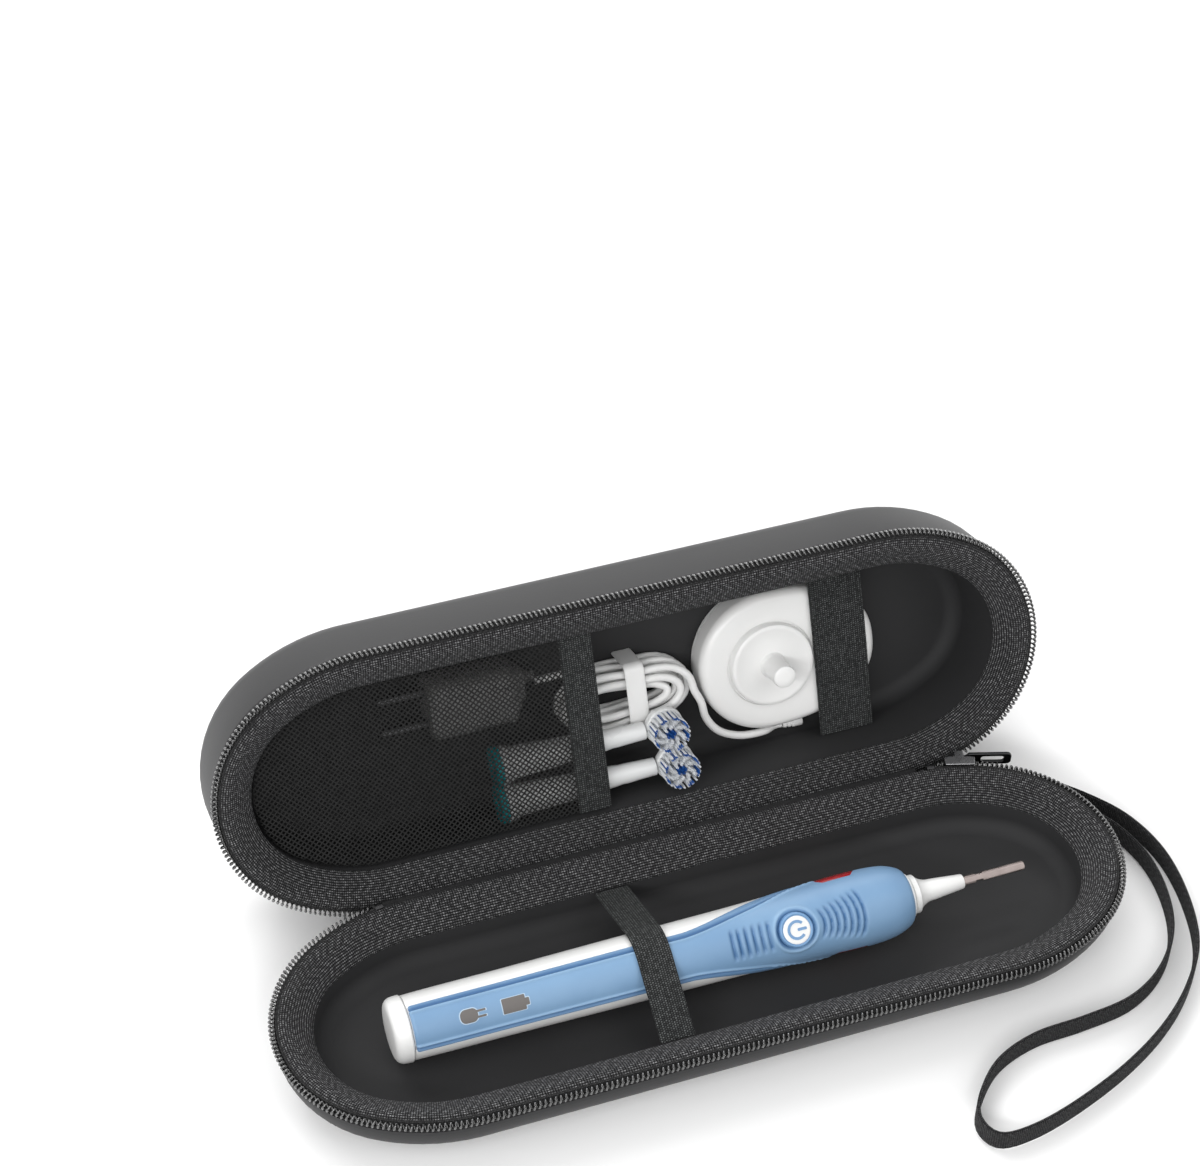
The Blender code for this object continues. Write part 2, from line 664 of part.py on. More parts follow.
def zip_puller(place, ear_low, ear_high, top, bottom, slider_frame, slider_pivot, looks):
    """A flat pull tab on a knuckle whose stub pins sit in the slider's ears."""
    here = Vector((place.x, place.y, 0.0))
    frame = empty("puller_frame", here - slider_pivot, parent=slider_frame)
    upper = BASE_DEPTH - ear_low - CLEARANCE
    lower = BASE_DEPTH - ear_high + CLEARANCE
    tab = upright_rod("zip_puller", here, KNUCKLE_RADIUS, lower, upper, looks["metal"], frame, here)
    pins = upright_rod("guide_puller_pins", here, PIVOT_RADIUS, BASE_DEPTH - bottom, BASE_DEPTH - top,
                       looks["metal"], frame, here)
    cut(tab, pins, "UNION")
    middle = (upper + lower) / 2
    along = Vector((cos(SLIDER_ANGLE), -sin(SLIDER_ANGLE), 0.0))
    out = Vector((sin(SLIDER_ANGLE), cos(SLIDER_ANGLE), 0.0))
    neck = (upper - lower) / 2
    half = PULLER_WIDTH / 2
    round_off = PULLER_WIDTH / 4
    shape = [
        (0.0, -neck), (KNUCKLE_RADIUS * 2, -neck), (KNUCKLE_RADIUS * 3, -half),
        (PULLER_LENGTH - round_off, -half), (PULLER_LENGTH, -half + round_off),
        (PULLER_LENGTH, half - round_off), (PULLER_LENGTH - round_off, half),
        (KNUCKLE_RADIUS * 3, half), (KNUCKLE_RADIUS * 2, neck), (0.0, neck),
    ]
    slot_start = PULLER_LENGTH - PULLER_SLOT_LENGTH - 2 * round_off
    slot = [
        (slot_start, -PULLER_SLOT_WIDTH / 2), (slot_start + PULLER_SLOT_LENGTH, -PULLER_SLOT_WIDTH / 2),
        (slot_start + PULLER_SLOT_LENGTH, PULLER_SLOT_WIDTH / 2), (slot_start, PULLER_SLOT_WIDTH / 2),
    ]
    plate_reach = PULLER_THICKNESS / 2
    plates = (("guide_puller_plate", shape, plate_reach), ("guide_puller_slot", slot, PULLER_THICKNESS))
    for name, outline, reach in plates:
        rings = []
        for side in (-reach, reach):
            rings.append([along * a + out * side + Vector((0.0, 0.0, middle + b)) for a, b in outline])
        points, faces = skin(rings)
        guide = solid(name, points, faces, looks["metal"], frame)
        cut(tab, guide, "UNION" if outline is shape else "DIFFERENCE")


def smooth_path(controls, gap):
    """Evenly spaced points on a Catmull-Rom curve through hand-picked points."""
    knots = [Vector(p) for p in controls]
    knots = [2 * knots[0] - knots[1]] + knots + [2 * knots[-1] - knots[-2]]
    fine = []
    for k in range(1, len(knots) - 2):
        a, b, c, d = knots[k - 1:k + 3]
        for s in range(PATH_SAMPLES):
            t = s / PATH_SAMPLES
            fine.append(0.5 * (2 * b + (c - a) * t + (2 * a - 5 * b + 4 * c - d) * t**2
                               + (3 * b - a - 3 * c + d) * t**3))
    fine.append(knots[-2])
    total = sum((q - p).length for p, q in zip(fine, fine[1:]))
    count = max(2, ceil(total / gap))
    spaced = [fine[0]]
    walked = 0.0
    for p, q in zip(fine, fine[1:]):
        step = (q - p).length
        while len(spaced) < count and walked + step >= total * len(spaced) / count:
            share = (total * len(spaced) / count - walked) / step
            spaced.append(p.lerp(q, share))
        walked += step
    spaced.append(fine[-1])
    return spaced


def strap_tab(looks):
    """The folded webbing tab sewn below the zip at the spine's end; it holds both ends of the strap."""
    inner = -CLEARANCE
    outer = inner - 2 * STRAP_THICKNESS - 3 * CLEARANCE
    foot = TAB_DEPTH + STRAP_WIDTH
    section = [(inner, TAB_DEPTH), (outer, TAB_DEPTH), (outer, foot), (inner, foot)]
    last = TAB_ANGLE + TAB_LENGTH / SHOULDER_RADIUS
    origin = Vector((0.0, 0.0, 0.0))
    swept_on_shoulder("strap_tab", section, TAB_ANGLE, last, SHOULDER_STEPS, looks["webbing"], None, origin)
    return last, inner, outer


def wrist_strap(tab_end, inner, outer, looks):
    """One loop of flat webbing that stands on its edge, from the tab out and back to it."""
    depth = TAB_DEPTH + STRAP_WIDTH / 2
    along = Vector((cos(tab_end), -sin(tab_end), 0.0))
    far_inset = outer + STRAP_THICKNESS / 2
    near_inset = inner - STRAP_THICKNESS / 2
    leave = shoulder_point(tab_end, far_inset, depth) + along * CLEARANCE
    come_back = shoulder_point(tab_end, near_inset, depth) + along * CLEARANCE
    lead = along * STRAP_WIDTH / 2
    controls = [leave, leave + lead] + [Vector(p) for p in STRAP_ROUTE] + [come_back + lead, come_back]
    path = smooth_path(controls, STRAP_POINT_GAP)
    rings = []
    for k, here in enumerate(path):
        before = path[max(k - 1, 0)]
        after = path[min(k + 1, len(path) - 1)]
        tangent = (after - before).normalized() if 0 < k < len(path) - 1 else along * (1 if k == 0 else -1)
        across = Vector((tangent.y, -tangent.x, 0.0)).normalized() * STRAP_THICKNESS / 2
        up = Vector((0.0, 0.0, STRAP_WIDTH / 2))
        rings.append([here - across - up, here + across - up, here + across + up, here - across + up])
    points, faces = skin(rings)
    return solid("wrist_strap", points, faces, looks["webbing"])


def brush_radius(x):
    """The toothbrush's outer radius at a place along it."""
    for (x0, r0), (x1, r1) in zip(BRUSH_BODY, BRUSH_BODY[1:]):
        if x0 <= x <= x1:
            return r0 + (r1 - r0) * (x - x0) / (x1 - x0)
    return BRUSH_BODY[0][1] if x < BRUSH_BODY[0][0] else BRUSH_BODY[-1][1]


def turned(name, profile, look, parent, sides=BRUSH_SIDES, hollow=False, drop=0.0):
    """A body turned round the X axis through (place, radius) pairs."""
    rings = []
    for x, radius in profile:
        ring = []
        for k in range(sides):
            turn = 2 * pi * k / sides
            ring.append(Vector((x, radius * sin(turn), radius * cos(turn) - drop)))
        rings.append(ring)
    points, faces = skin(rings, path_closed=hollow)
    return solid(name, points, faces, look, parent)


def patch(name, places, half_angle, centre_angle, outer, inner, look, parent):
    """A curved panel round the toothbrush; angles are measured from the button's side."""
    rows = []
    for x in places:
        row = []
        for radius in (outer(x), inner(x)):
            line = []
            for k in range(PATCH_STEPS + 1):
                turn = centre_angle + half_angle(x) * (2 * k / PATCH_STEPS - 1)
                line.append(Vector((x, radius * sin(turn), radius * cos(turn))))
            row.append(line)
        rows.append(row[0] + row[1][::-1])
    points, faces = skin(rows)
    return solid(name, points, faces, look, parent)


def grip_half_angle(x):
    """The grip covers the front, and wraps further round at the bulge."""
    share = min(max((x - BASE_BAND_PLACE - BASE_BAND_WIDTH) / GRIP_WIDENS, 0.0), 1.0)
    return GRIP_NARROW + (GRIP_WIDE - GRIP_NARROW) * share


def toothbrush(looks):
    """The handle with its motor, battery and coil, the button, and the shaft that drives a head."""
    floor = BASE_DEPTH - tray_floor(BASE_DEPTH)
    widest = max(r for x, r in BRUSH_BODY)
    place = (0.0, BRUSH_SIDE, floor + CLEARANCE + widest)
    frame = empty("toothbrush_frame", place, (BRUSH_ROLL, 0.0, 0.0))

    start = BRUSH_BODY[0][0] + FOOT_CAP_LENGTH
    stations = [x for x, r in BRUSH_BODY if start < x]
    outside = [(x, brush_radius(x) - SHELL_UNDER) for x in [start] + stations]
    inside = [(x, r - SHELL_WALL) for x, r in outside]
    shell = turned("handle_shell", outside + inside[::-1], looks["white"], frame, hollow=True)

    widens = BASE_BAND_PLACE + BASE_BAND_WIDTH
    places = [GRIP_START, widens, widens + GRIP_WIDENS, GRIP_END]
    places = sorted(set(places + [x for x in stations if GRIP_START < x < GRIP_END]))
    grip = patch(
        "handle_grip", places, grip_half_angle, 0.0,
        brush_radius, lambda x: brush_radius(x) - GRIP_THICKNESS, looks["blue"], frame,
    )

    def light_inner(x):
        return brush_radius(x) - SHELL_UNDER + CLEARANCE

    def light_outer(x):
        return light_inner(x) + LIGHT_THICKNESS

    light_places = [LIGHT_START] + [x for x in stations if LIGHT_START < x < LIGHT_END] + [LIGHT_END]
    patch(
        "pressure_light", light_places, lambda x: pi - GRIP_WIDE - CLEARANCE / brush_radius(x), pi,
        light_outer, light_inner, looks["red"], frame,
    )

    crest = brush_radius(BUTTON_PLACE)
    bore_top = crest + CUT_OVERRUN
    bore = round_along_z("guide_button_bore", BUTTON_RADIUS + CLEARANCE, 0.0, bore_top, looks["white"], frame)
    bore.location = (BUTTON_PLACE, 0.0, 0.0)
    cut(shell, bore)
    cut(grip, bore)
    button_frame = empty("button_frame", (BUTTON_PLACE, 0.0, crest), parent=frame)
    round_along_z("power_button", BUTTON_RADIUS, -BUTTON_HEIGHT, BUTTON_STANDS, looks["button"], button_frame)

    spigot = inside[0][1] - CLEARANCE
    cap = [
        (BRUSH_FOOT, brush_radius(BRUSH_FOOT) - SHELL_UNDER),
        (start - CLEARANCE, brush_radius(start) - CLEARANCE),
        (start - CLEARANCE, spigot), (start + FOOT_CAP_LENGTH, spigot),
    ]
    turned("foot_cap", cap, looks["white"], frame)

    coil_start = start + FOOT_CAP_LENGTH + SEAL_WIDTH + 3 * CLEARANCE
    seal_start = start + FOOT_CAP_LENGTH + CLEARANCE
    tube_inside("seal_ring", seal_start, SEAL_WIDTH, spigot, COIL_WALL, looks["rubber"], frame)
    tube_inside("charging_coil", coil_start, COIL_LENGTH, spigot, COIL_WALL, looks["copper"], frame)

    turned("battery", [(BATTERY_START, BATTERY_RADIUS), (BATTERY_START + BATTERY_LENGTH, BATTERY_RADIUS)],
           looks["battery"], frame, drop=MOTOR_DROP)
    turned("motor", [(MOTOR_START, MOTOR_RADIUS), (MOTOR_START + MOTOR_LENGTH, MOTOR_RADIUS)],
           looks["metal"], frame, drop=MOTOR_DROP)
    level = MOTOR_RADIUS - MOTOR_DROP + CLEARANCE
    box("circuit_board", (BOARD_START, -BOARD_WIDTH / 2, level),
        (MOTOR_START + MOTOR_LENGTH, BOARD_WIDTH / 2, level + BOARD_THICKNESS), looks["board"], frame)

    neck_start = BRUSH_BODY[-1][0] + CLEARANCE
    hole = SHAFT_RADIUS + SHAFT_GAP
    shoulder = neck_start + COLLAR_LENGTH * COLLAR_SHOULDER_SHARES[0]
    collar = [
        (neck_start, COLLAR_RADIUS), (shoulder, COLLAR_RADIUS * COLLAR_SHOULDER_SHARES[1]),
        (neck_start + COLLAR_LENGTH, NECK_RADIUS), (NECK_END, NECK_TIP_RADIUS),
        (NECK_END, hole), (neck_start, hole),
    ]
    turned("neck_collar", collar, looks["white"], frame, hollow=True)
    shaft_start = MOTOR_START + MOTOR_LENGTH + CLEARANCE
    turned("drive_shaft", [(shaft_start, SHAFT_RADIUS), (SHAFT_END, SHAFT_RADIUS)],
           looks["metal"], frame, sides=SHAFT_SIDES)


def round_along_z(name, radius, low, high, look, parent, sides=ROUND_SIDES):
    """A round body along Z about its frame's origin."""
    rings = []
    for z in (low, high):
        turns = [2 * pi * k / sides for k in range(sides)]
        rings.append([Vector((radius * cos(turn), radius * sin(turn), z)) for turn in turns])
    points, faces = skin(rings)
    return solid(name, points, faces, look, parent)


def tube_inside(name, start, length, radius, wall, look, parent):
    """A short tube round the toothbrush's axis."""
    end = start + length
    bore = radius - wall
    profile = [(start, radius), (end, radius), (end, bore), (start, bore)]
    return turned(name, profile, look, parent, hollow=True)


def box(name, low, high, look, parent):
    """A block between two corners."""
    x0, y0, z0 = low
    x1, y1, z1 = high
    rings = [[Vector((x, y, z)) for y, z in ((y0, z0), (y1, z0), (y1, z1), (y0, z1))] for x in (x0, x1)]
    points, faces = skin(rings)
    return solid(name, points, faces, look, parent)


def tangent_angle(point, centre, radius, side):
    """Angle from the centre to where a line from the point touches the circle."""
    gap = Vector(point) - Vector(centre)
    return atan2(gap.y, gap.x) + side * acos(radius / gap.length)


def base_band(looks):
    """The elastic band across the toothbrush, sewn down inside both edges of the binding."""
    inset = FLANGE_LIP[0] + TRAY_DRAFT + CLEARANCE + BAND_THICKNESS
    level = BASE_DEPTH - FLANGE_LIP[1] - CLEARANCE
    edge = HALF_WIDTH - inset
    floor = BASE_DEPTH - tray_floor(BASE_DEPTH)
    centre = (BRUSH_SIDE, floor + CLEARANCE + max(r for x, r in BRUSH_BODY))
    widest_half_step = pi / BAND_ARC_STEPS / 2
    radius = (brush_radius(BASE_BAND_PLACE) + CLEARANCE + BAND_THICKNESS / 2) / cos(widest_half_step)
    front = tangent_angle((-edge, level), centre, radius, -1)
    back = tangent_angle((edge, level), centre, radius, 1)
    front = front + 2 * pi if front < back else front
    arc = []
    for k in range(BAND_ARC_STEPS + 1):
        turn = front + (back - front) * k / BAND_ARC_STEPS
        arc.append((centre[0] + radius * cos(turn), centre[1] + radius * sin(turn)))
    places = [(-edge, level)] + arc + [(edge, level)]
    start = BASE_BAND_PLACE - BASE_BAND_WIDTH / 2
    return strip_across("base_band", places, BAND_THICKNESS, start, start + BASE_BAND_WIDTH, looks["elastic"])


def lid_block(name, lid, low, high, look):
    """A block in the closed lid's x, y and depth."""
    a = lid.at(*low)
    b = lid.at(*high)
    low_corner = [min(p, q) for p, q in zip(a, b)]
    high_corner = [max(p, q) for p, q in zip(a, b)]
    return box(name, low_corner, high_corner, look, lid.parent)


def outline_half_width(x, inset):
    """Half the width of the outline, moved inwards, at a place along the case."""
    reach = abs(x)
    if reach <= STRAIGHT_END:
        return HALF_WIDTH - inset
    split = STRAIGHT_END + SHOULDER_RADIUS * sin(SHOULDER_SPAN)
    if reach <= split:
        run = reach - STRAIGHT_END
        return SHOULDER_CENTRE.y + sqrt(max((SHOULDER_RADIUS - inset)**2 - run**2, 0.0))
    run = reach - (CASE_LENGTH / 2 - TIP_RADIUS)
    return sqrt(max((TIP_RADIUS - inset)**2 - run**2, 0.0))


def net_pocket(lid, looks):
    """A flat net across the left of the lid, with an elastic hem at its mouth."""
    inset = FLANGE_LIP[0] + TRAY_DRAFT + 2 * CLEARANCE
    end = HEM_START - CLEARANCE
    columns = [NET_START + (end - NET_START) * k / NET_COLUMNS for k in range(NET_COLUMNS + 1)]
    half = NET_STRAND / 2
    points = []
    index = {}

    def put(key, x, share, level):
        if key not in index:
            index[key] = len(points)
            points.append(lid.at(x, share * outline_half_width(x, inset), level))
        return index[key]

    faces = []
    for c in range(NET_COLUMNS):
        x0, x1 = columns[c], columns[c + 1]
        for r in range(NET_ROWS):
            s0, s1 = 2 * r / NET_ROWS - 1, 2 * (r + 1) / NET_ROWS - 1
            narrow = half / outline_half_width((x0 + x1) / 2, inset)
            corners = []
            for layer, level in enumerate((NET_DEPTH, NET_DEPTH + NET_THICKNESS)):
                outer = [
                    put(("o", c, r, layer), x0, s0, level),
                    put(("o", c + 1, r, layer), x1, s0, level),
                    put(("o", c + 1, r + 1, layer), x1, s1, level),
                    put(("o", c, r + 1, layer), x0, s1, level),
                ]
                hole = [
                    put(("h", c, r, layer, 0), x0 + half, s0 + narrow, level),
                    put(("h", c, r, layer, 1), x1 - half, s0 + narrow, level),
                    put(("h", c, r, layer, 2), x1 - half, s1 - narrow, level),
                    put(("h", c, r, layer, 3), x0 + half, s1 - narrow, level),
                ]
                corners.append((outer, hole))
                for k in range(4):
                    n = (k + 1) % 4
                    faces.append((outer[k], outer[n], hole[n], hole[k]))
            for k in range(4):
                n = (k + 1) % 4
                faces.append((corners[0][1][k], corners[0][1][n], corners[1][1][n], corners[1][1][k]))
            edges = ((0, r == 0), (1, c == NET_COLUMNS - 1), (2, r == NET_ROWS - 1), (3, c == 0))
            for k, outside in edges:
                if outside:
                    n = (k + 1) % 4
                    faces.append((corners[0][0][k], corners[0][0][n], corners[1][0][n], corners[1][0][k]))
    solid("pocket_net", points, faces, looks["net"], lid.parent)
    edge = HALF_WIDTH - inset
    lid_block("pocket_hem", lid, (HEM_START, -edge, NET_DEPTH),
              (HEM_START + HEM_WIDTH, edge, NET_DEPTH + HEM_THICKNESS), looks["elastic"])


def charger_outline(inset):
    """Round at the left and drawn out to an elliptical tail at the right, about the charger's own centre."""
    places = []
    for k in range(CHARGER_SIDES):
        turn = 2 * pi * k / CHARGER_SIDES
        reach = CHARGER_TAIL if cos(turn) > 0 else CHARGER_RADIUS
        places.append(((reach - inset) * cos(turn), (CHARGER_RADIUS - inset) * sin(turn)))
    return places


def charger(lid, looks):
    """A flat housing with a bottom plate, a raised platform and the peg that a handle stands on."""
    floor = LID_TRAY_FLOOR - CLEARANCE
    frame = empty("charger_frame", lid.at(CHARGER_X, CHARGER_SIDE, floor), parent=lid.parent)
    body_low = CHARGER_PLATE + CLEARANCE
    body_top = CHARGER_PLATE + CHARGER_HEIGHT
    plate = [(0.0, 0.0), (0.0, CHARGER_PLATE)]
    body = [
        (0.0, body_low), (0.0, body_top - CHARGER_EDGE),
        (CHARGER_EDGE / 3, body_top - CHARGER_EDGE / 3), (CHARGER_EDGE, body_top),
    ]
    for name, profile in (("charger_plate", plate), ("charger_body", body)):
        rings = []
        for inset, height in profile:
            rings.append([Vector((x, y, -height)) for x, y in charger_outline(inset)])
        points, faces = skin(rings)
        solid(name, points, faces, looks["white"], frame)
    platform_low = body_top + CLEARANCE
    platform_top = platform_low + PLATFORM_HEIGHT
    round_along_z("charger_platform", PLATFORM_RADIUS, -platform_top, -platform_low, looks["white"], frame)
    peg_low = platform_top + CLEARANCE
    round_along_z("charger_peg", PEG_RADIUS, -peg_low - PEG_HEIGHT, -peg_low, looks["white"], frame)

    near = CHARGER_RADIUS + CLEARANCE
    height = RELIEF_WIDTH / 2 + body_low
    half = RELIEF_WIDTH / 2
    x_end = RELIEF_OFFSET
    box("cord_relief", (x_end - RELIEF_LENGTH, near, -height - half),
        (x_end, near + RELIEF_WIDTH, -height + half), looks["white"], frame)
    return (RELIEF_PLACE - RELIEF_LENGTH - CLEARANCE, CHARGER_SIDE + near + half, floor - height)


def tube(name, points, radius, look, parent, resolution):
    """A round cord along a list of points, as a bevelled curve with filled caps."""
    curve = bpy.data.curves.new(name, "CURVE")
    curve.dimensions = "3D"
    curve.bevel_depth = radius
    curve.bevel_resolution = resolution
    curve.use_fill_caps = True
    spline = curve.splines.new("POLY")
    spline.points.add(len(points) - 1)
    for place, point in zip(spline.points, points):
        place.co = (*point, 1.0)
    curve.materials.append(look)
    made = bpy.data.objects.new(name, curve)
    bpy.context.collection.objects.link(made)
    made.parent = parent
    return made


def hank_point(turns):
    """A point of the hank's centre line after a number of turns: x, y and its layer."""
    layer = min(int(turns / HANK_TURNS_A_LAYER), HANK_LAYERS - 1)
    share = turns / HANK_TURNS_A_LAYER - layer
    wound_in = share if layer % 2 == 0 else 1.0 - share
    shrink = wound_in * HANK_TURNS_A_LAYER * HANK_TURN_STEP
    climb = layer
    for step in range(1, HANK_LAYERS):
        gone = turns - step * HANK_TURNS_A_LAYER
        if abs(gone) < HANK_CLIMB_REACH:
            climb = step - 1 + (gone + HANK_CLIMB_REACH) / (2 * HANK_CLIMB_REACH)
    half_width = HANK_HALF_WIDTH - shrink
    straight = HANK_HALF_LENGTH - HANK_HALF_WIDTH
    angle = 2 * pi * turns - pi / 2
    bow = half_width + straight
    x = bow * cos(angle)
    y = half_width * sin(angle)
    waist = 1.0 - HANK_WAIST_SHARE * exp(-((x - HANK_WAIST_PLACE) / HANK_WAIST_LENGTH)**2)
    return HANK_CENTRE[0] + x, HANK_CENTRE[1] + y * waist, climb


def least_gap(points, radius):
    """Smallest free distance between stretches of one tube that lie apart along it."""
    least = CASE_LENGTH
    for k, here in enumerate(points):
        for n in range(k + HANK_NEIGHBOURS, len(points) - 1):
            a = points[n]
            b = points[n + 1]
            run = b - a
            share = min(max((here - a).dot(run) / run.length_squared, 0.0), 1.0)
            least = min(least, (here - a - run * share).length)
    return least - 2 * radius


def cord_hank(lid, plug_face, looks):
    """The cord wound in layers, led straight out of the plug; returns where it leaves the hank."""
    floor = LID_TRAY_FLOOR - CLEARANCE - CORD_RADIUS
    total = HANK_LAYERS * HANK_TURNS_A_LAYER
    count = ceil(total * HANK_POINTS)
    points = []
    for k in range(count + 1):
        x, y, climb = hank_point(total * k / count)
        points.append(Vector((x, y, floor - climb * HANK_LAYER_STEP)))
    lead = Vector((plug_face[0], points[0].y, floor))
    between = Vector((plug_face[0] + 2 * CORD_RADIUS, points[0].y, floor))
    path = [lead, between] + points
    print("least gap in the hank, mm:", round(least_gap(path, CORD_RADIUS) * MILLIMETRES, 2))
    local = [lid.at(p.x, p.y, p.z) for p in path]
    tube("cord_hank", local, CORD_RADIUS, looks["cord"], lid.parent, 1)
    return points


def cord_lead(lid, hank_end, hank_before, relief_face, looks):
    """The single stretch of cord from the hank round the charger's edge to its relief."""
    along = (hank_end - hank_before).normalized()
    start = hank_end + along * CLEARANCE
    finish_point = Vector(relief_face)
    straight = Vector((2 * CORD_RADIUS, 0.0, 0.0))
    controls = [start, start + along * 2 * CORD_RADIUS] + [Vector(p) for p in CORD_ROUTE]
    controls += [finish_point - straight, finish_point]
    path = smooth_path(controls, CORD_POINT_GAP)
    tube("cord_lead", [lid.at(p.x, p.y, p.z) for p in path], CORD_RADIUS, looks["cord"], lid.parent, 2)


def cord_tie(lid, looks):
    """The flat tie that closes round the hank's waist."""
    centre_x = HANK_CENTRE[0] + HANK_WAIST_PLACE
    reach = HANK_HALF_WIDTH * (1.0 - HANK_WAIST_SHARE) + CORD_RADIUS + 3 * CLEARANCE
    low = LID_TRAY_FLOOR - CLEARANCE
    high = low - HANK_HEIGHT
    outer_reach = reach + TIE_THICKNESS
    top = high - TIE_THICKNESS
    rings = []
    for side in (-1, 1):
        x = centre_x + side * TIE_WIDTH / 2
        rings.append([lid.at(x, HANK_CENTRE[1] + y, depth) for y, depth in
                      ((-outer_reach, low), (-reach, low), (-reach, high), (reach, high), (reach, low),
                       (outer_reach, low), (outer_reach, top), (-outer_reach, top))])
    points, faces = skin(rings)
    return solid("cord_tie", points, faces, looks["cord"], lid.parent)


def plug(lid, looks):
    """A two-pin plug lying on the tray under the net; returns the face that its cord leaves."""
    floor = LID_TRAY_FLOOR - CLEARANCE
    side_y = HANK_CENTRE[1] - HANK_HALF_WIDTH
    level = floor - CORD_RADIUS
    face = HANK_CENTRE[0] - HANK_HALF_LENGTH - 3 * CORD_RADIUS
    relief_end = face - CLEARANCE
    body_end = relief_end - PLUG_RELIEF_LENGTH
    body_start = body_end - PLUG_LENGTH
    half = PLUG_WIDTH / 2
    top = floor - PLUG_HEIGHT
    section = [
        (side_y - half, floor), (side_y + half, floor), (side_y + half, top + PLUG_EDGE),
        (side_y + half - PLUG_EDGE, top), (side_y - half + PLUG_EDGE, top), (side_y - half, top + PLUG_EDGE),
    ]
    rings = [[lid.at(x, y, depth) for y, depth in section] for x in (body_start, body_end - CLEARANCE)]
    points, faces = skin(rings)
    solid("plug_body", points, faces, looks["plug"], lid.parent)
    lid_block("plug_relief", lid, (body_end, side_y - PLUG_RELIEF_RADIUS, floor - 2 * PLUG_RELIEF_RADIUS),
              (relief_end, side_y + PLUG_RELIEF_RADIUS, floor), looks["plug"])
    for name, offset in (("plug_pin_a", -PIN_SPACING / 2), ("plug_pin_b", PIN_SPACING / 2)):
        middle = floor - PLUG_HEIGHT / 2
        rings = []
        for x in (body_start - CLEARANCE, body_start - CLEARANCE - PIN_LENGTH):
            ring = []
            for k in range(ROUND_SIDES // 2):
                turn = 2 * pi * k / (ROUND_SIDES // 2)
                y = side_y + offset + PIN_RADIUS * cos(turn)
                ring.append(lid.at(x, y, middle + PIN_RADIUS * sin(turn)))
            rings.append(ring)
        points, faces = skin(rings)
        solid(name, points, faces, looks["metal"], lid.parent)
    return (face, side_y, level)


def bristle_points():
    """A disc of triangles in rings, every outward one drawn up into a tapered three-sided strand."""
    step = BRISTLE_DISC_RADIUS / BRISTLE_RINGS
    flat = [Vector((0.0, 0.0, 0.0))]
    start = {0: 0}
    for ring in range(1, BRISTLE_RINGS + 1):
        start[ring] = len(flat)
        for k in range(6 * ring):
            turn = 2 * pi * k / (6 * ring)
            flat.append(Vector((ring * step * cos(turn), ring * step * sin(turn), 0.0)))

    def at(ring, k):
        return 0 if ring == 0 else start[ring] + k % (6 * ring)

    outward = []
    inward = []
    for ring in range(1, BRISTLE_RINGS + 1):
        for sector in range(6):
            for k in range(ring):
                low = sector * (ring - 1) + k
                high = sector * ring + k
                outward.append((at(ring, high), at(ring, high + 1), at(ring - 1, low)))
                if k < ring - 1:
                    inward.append((at(ring, high + 1), at(ring - 1, low + 1), at(ring - 1, low)))
    return flat, outward, inward


def bristles(name, level, look, parent):
    """Strands fused to a thin backing, standing on the disc towards the rim."""
    flat, outward, inward = bristle_points()
    top = [Vector((p.x, p.y, level - BRISTLE_BACKING)) for p in flat]
    points = list(top)
    faces = [tuple(face) for face in inward]
    for face in outward:
        middle = sum((top[k] for k in face), Vector((0.0, 0.0, 0.0))) / 3
        tip = []
        for k in face:
            place = middle + (top[k] - middle) * BRISTLE_TIP_SHARE
            tip.append(len(points))
            points.append(Vector((place.x, place.y, level - BRISTLE_BACKING - BRISTLE_LENGTH)))
        for k in range(3):
            n = (k + 1) % 3
            faces.append((face[k], face[n], tip[n], tip[k]))
        faces.append(tuple(tip))
    rim = 6 * BRISTLE_RINGS
    first = len(top) - rim
    low = len(points)
    for k in range(rim):
        points.append(Vector((top[first + k].x, top[first + k].y, level)))
    for k in range(rim):
        n = (k + 1) % rim
        faces.append((first + k, first + n, low + n, low + k))
    faces.append(tuple(range(low, low + rim)))
    return solid(name, points, faces, look, parent)


def spare_head(letter, lid, y, disc_x, looks):
    """A spare head: stem with coloured ring, and the disc of bristles that swings on it."""
    def along(name, profile, look, hollow=False):
        rings = []
        for x, radius in profile:
            ring = []
            for k in range(HEAD_SIDES):
                turn = 2 * pi * k / HEAD_SIDES
                ring.append(lid.at(x, y + radius * cos(turn), HEAD_DEPTH + radius * sin(turn)))
            rings.append(ring)
        points, faces = skin(rings, path_closed=hollow)
        return solid(name, points, faces, look, lid.parent)

    ring_end = HEAD_RING_START + HEAD_RING_LENGTH
    bore = SHAFT_RADIUS + SHAFT_GAP
    along("head_%s_ring" % letter, [
        (HEAD_RING_START, HEAD_RING_RADIUS), (ring_end, HEAD_RING_RADIUS),
        (ring_end, bore), (HEAD_RING_START, bore),
    ], looks["teal"], True)
    stem_start = ring_end + CLEARANCE
    neck = disc_x - HEAD_DISC_RADIUS - CLEARANCE
    along("head_%s_stem" % letter, [
        (stem_start, HEAD_STEM_RADIUS), ((stem_start + neck) / 2, (HEAD_STEM_RADIUS + HEAD_NECK_RADIUS) / 2),
        (neck, HEAD_NECK_RADIUS),
    ], looks["white"])
    place = lid.at(disc_x, y, HEAD_DEPTH)
    frame = empty("head_%s_frame" % letter, place, parent=lid.parent)
    disc_low = HEAD_DISC_THICKNESS / 2
    round_along_z("head_%s_disc" % letter, HEAD_DISC_RADIUS, -disc_low, disc_low, looks["white"], frame)
    bristles("head_%s_bristles" % letter, -disc_low - CLEARANCE, looks["bristle"], frame)


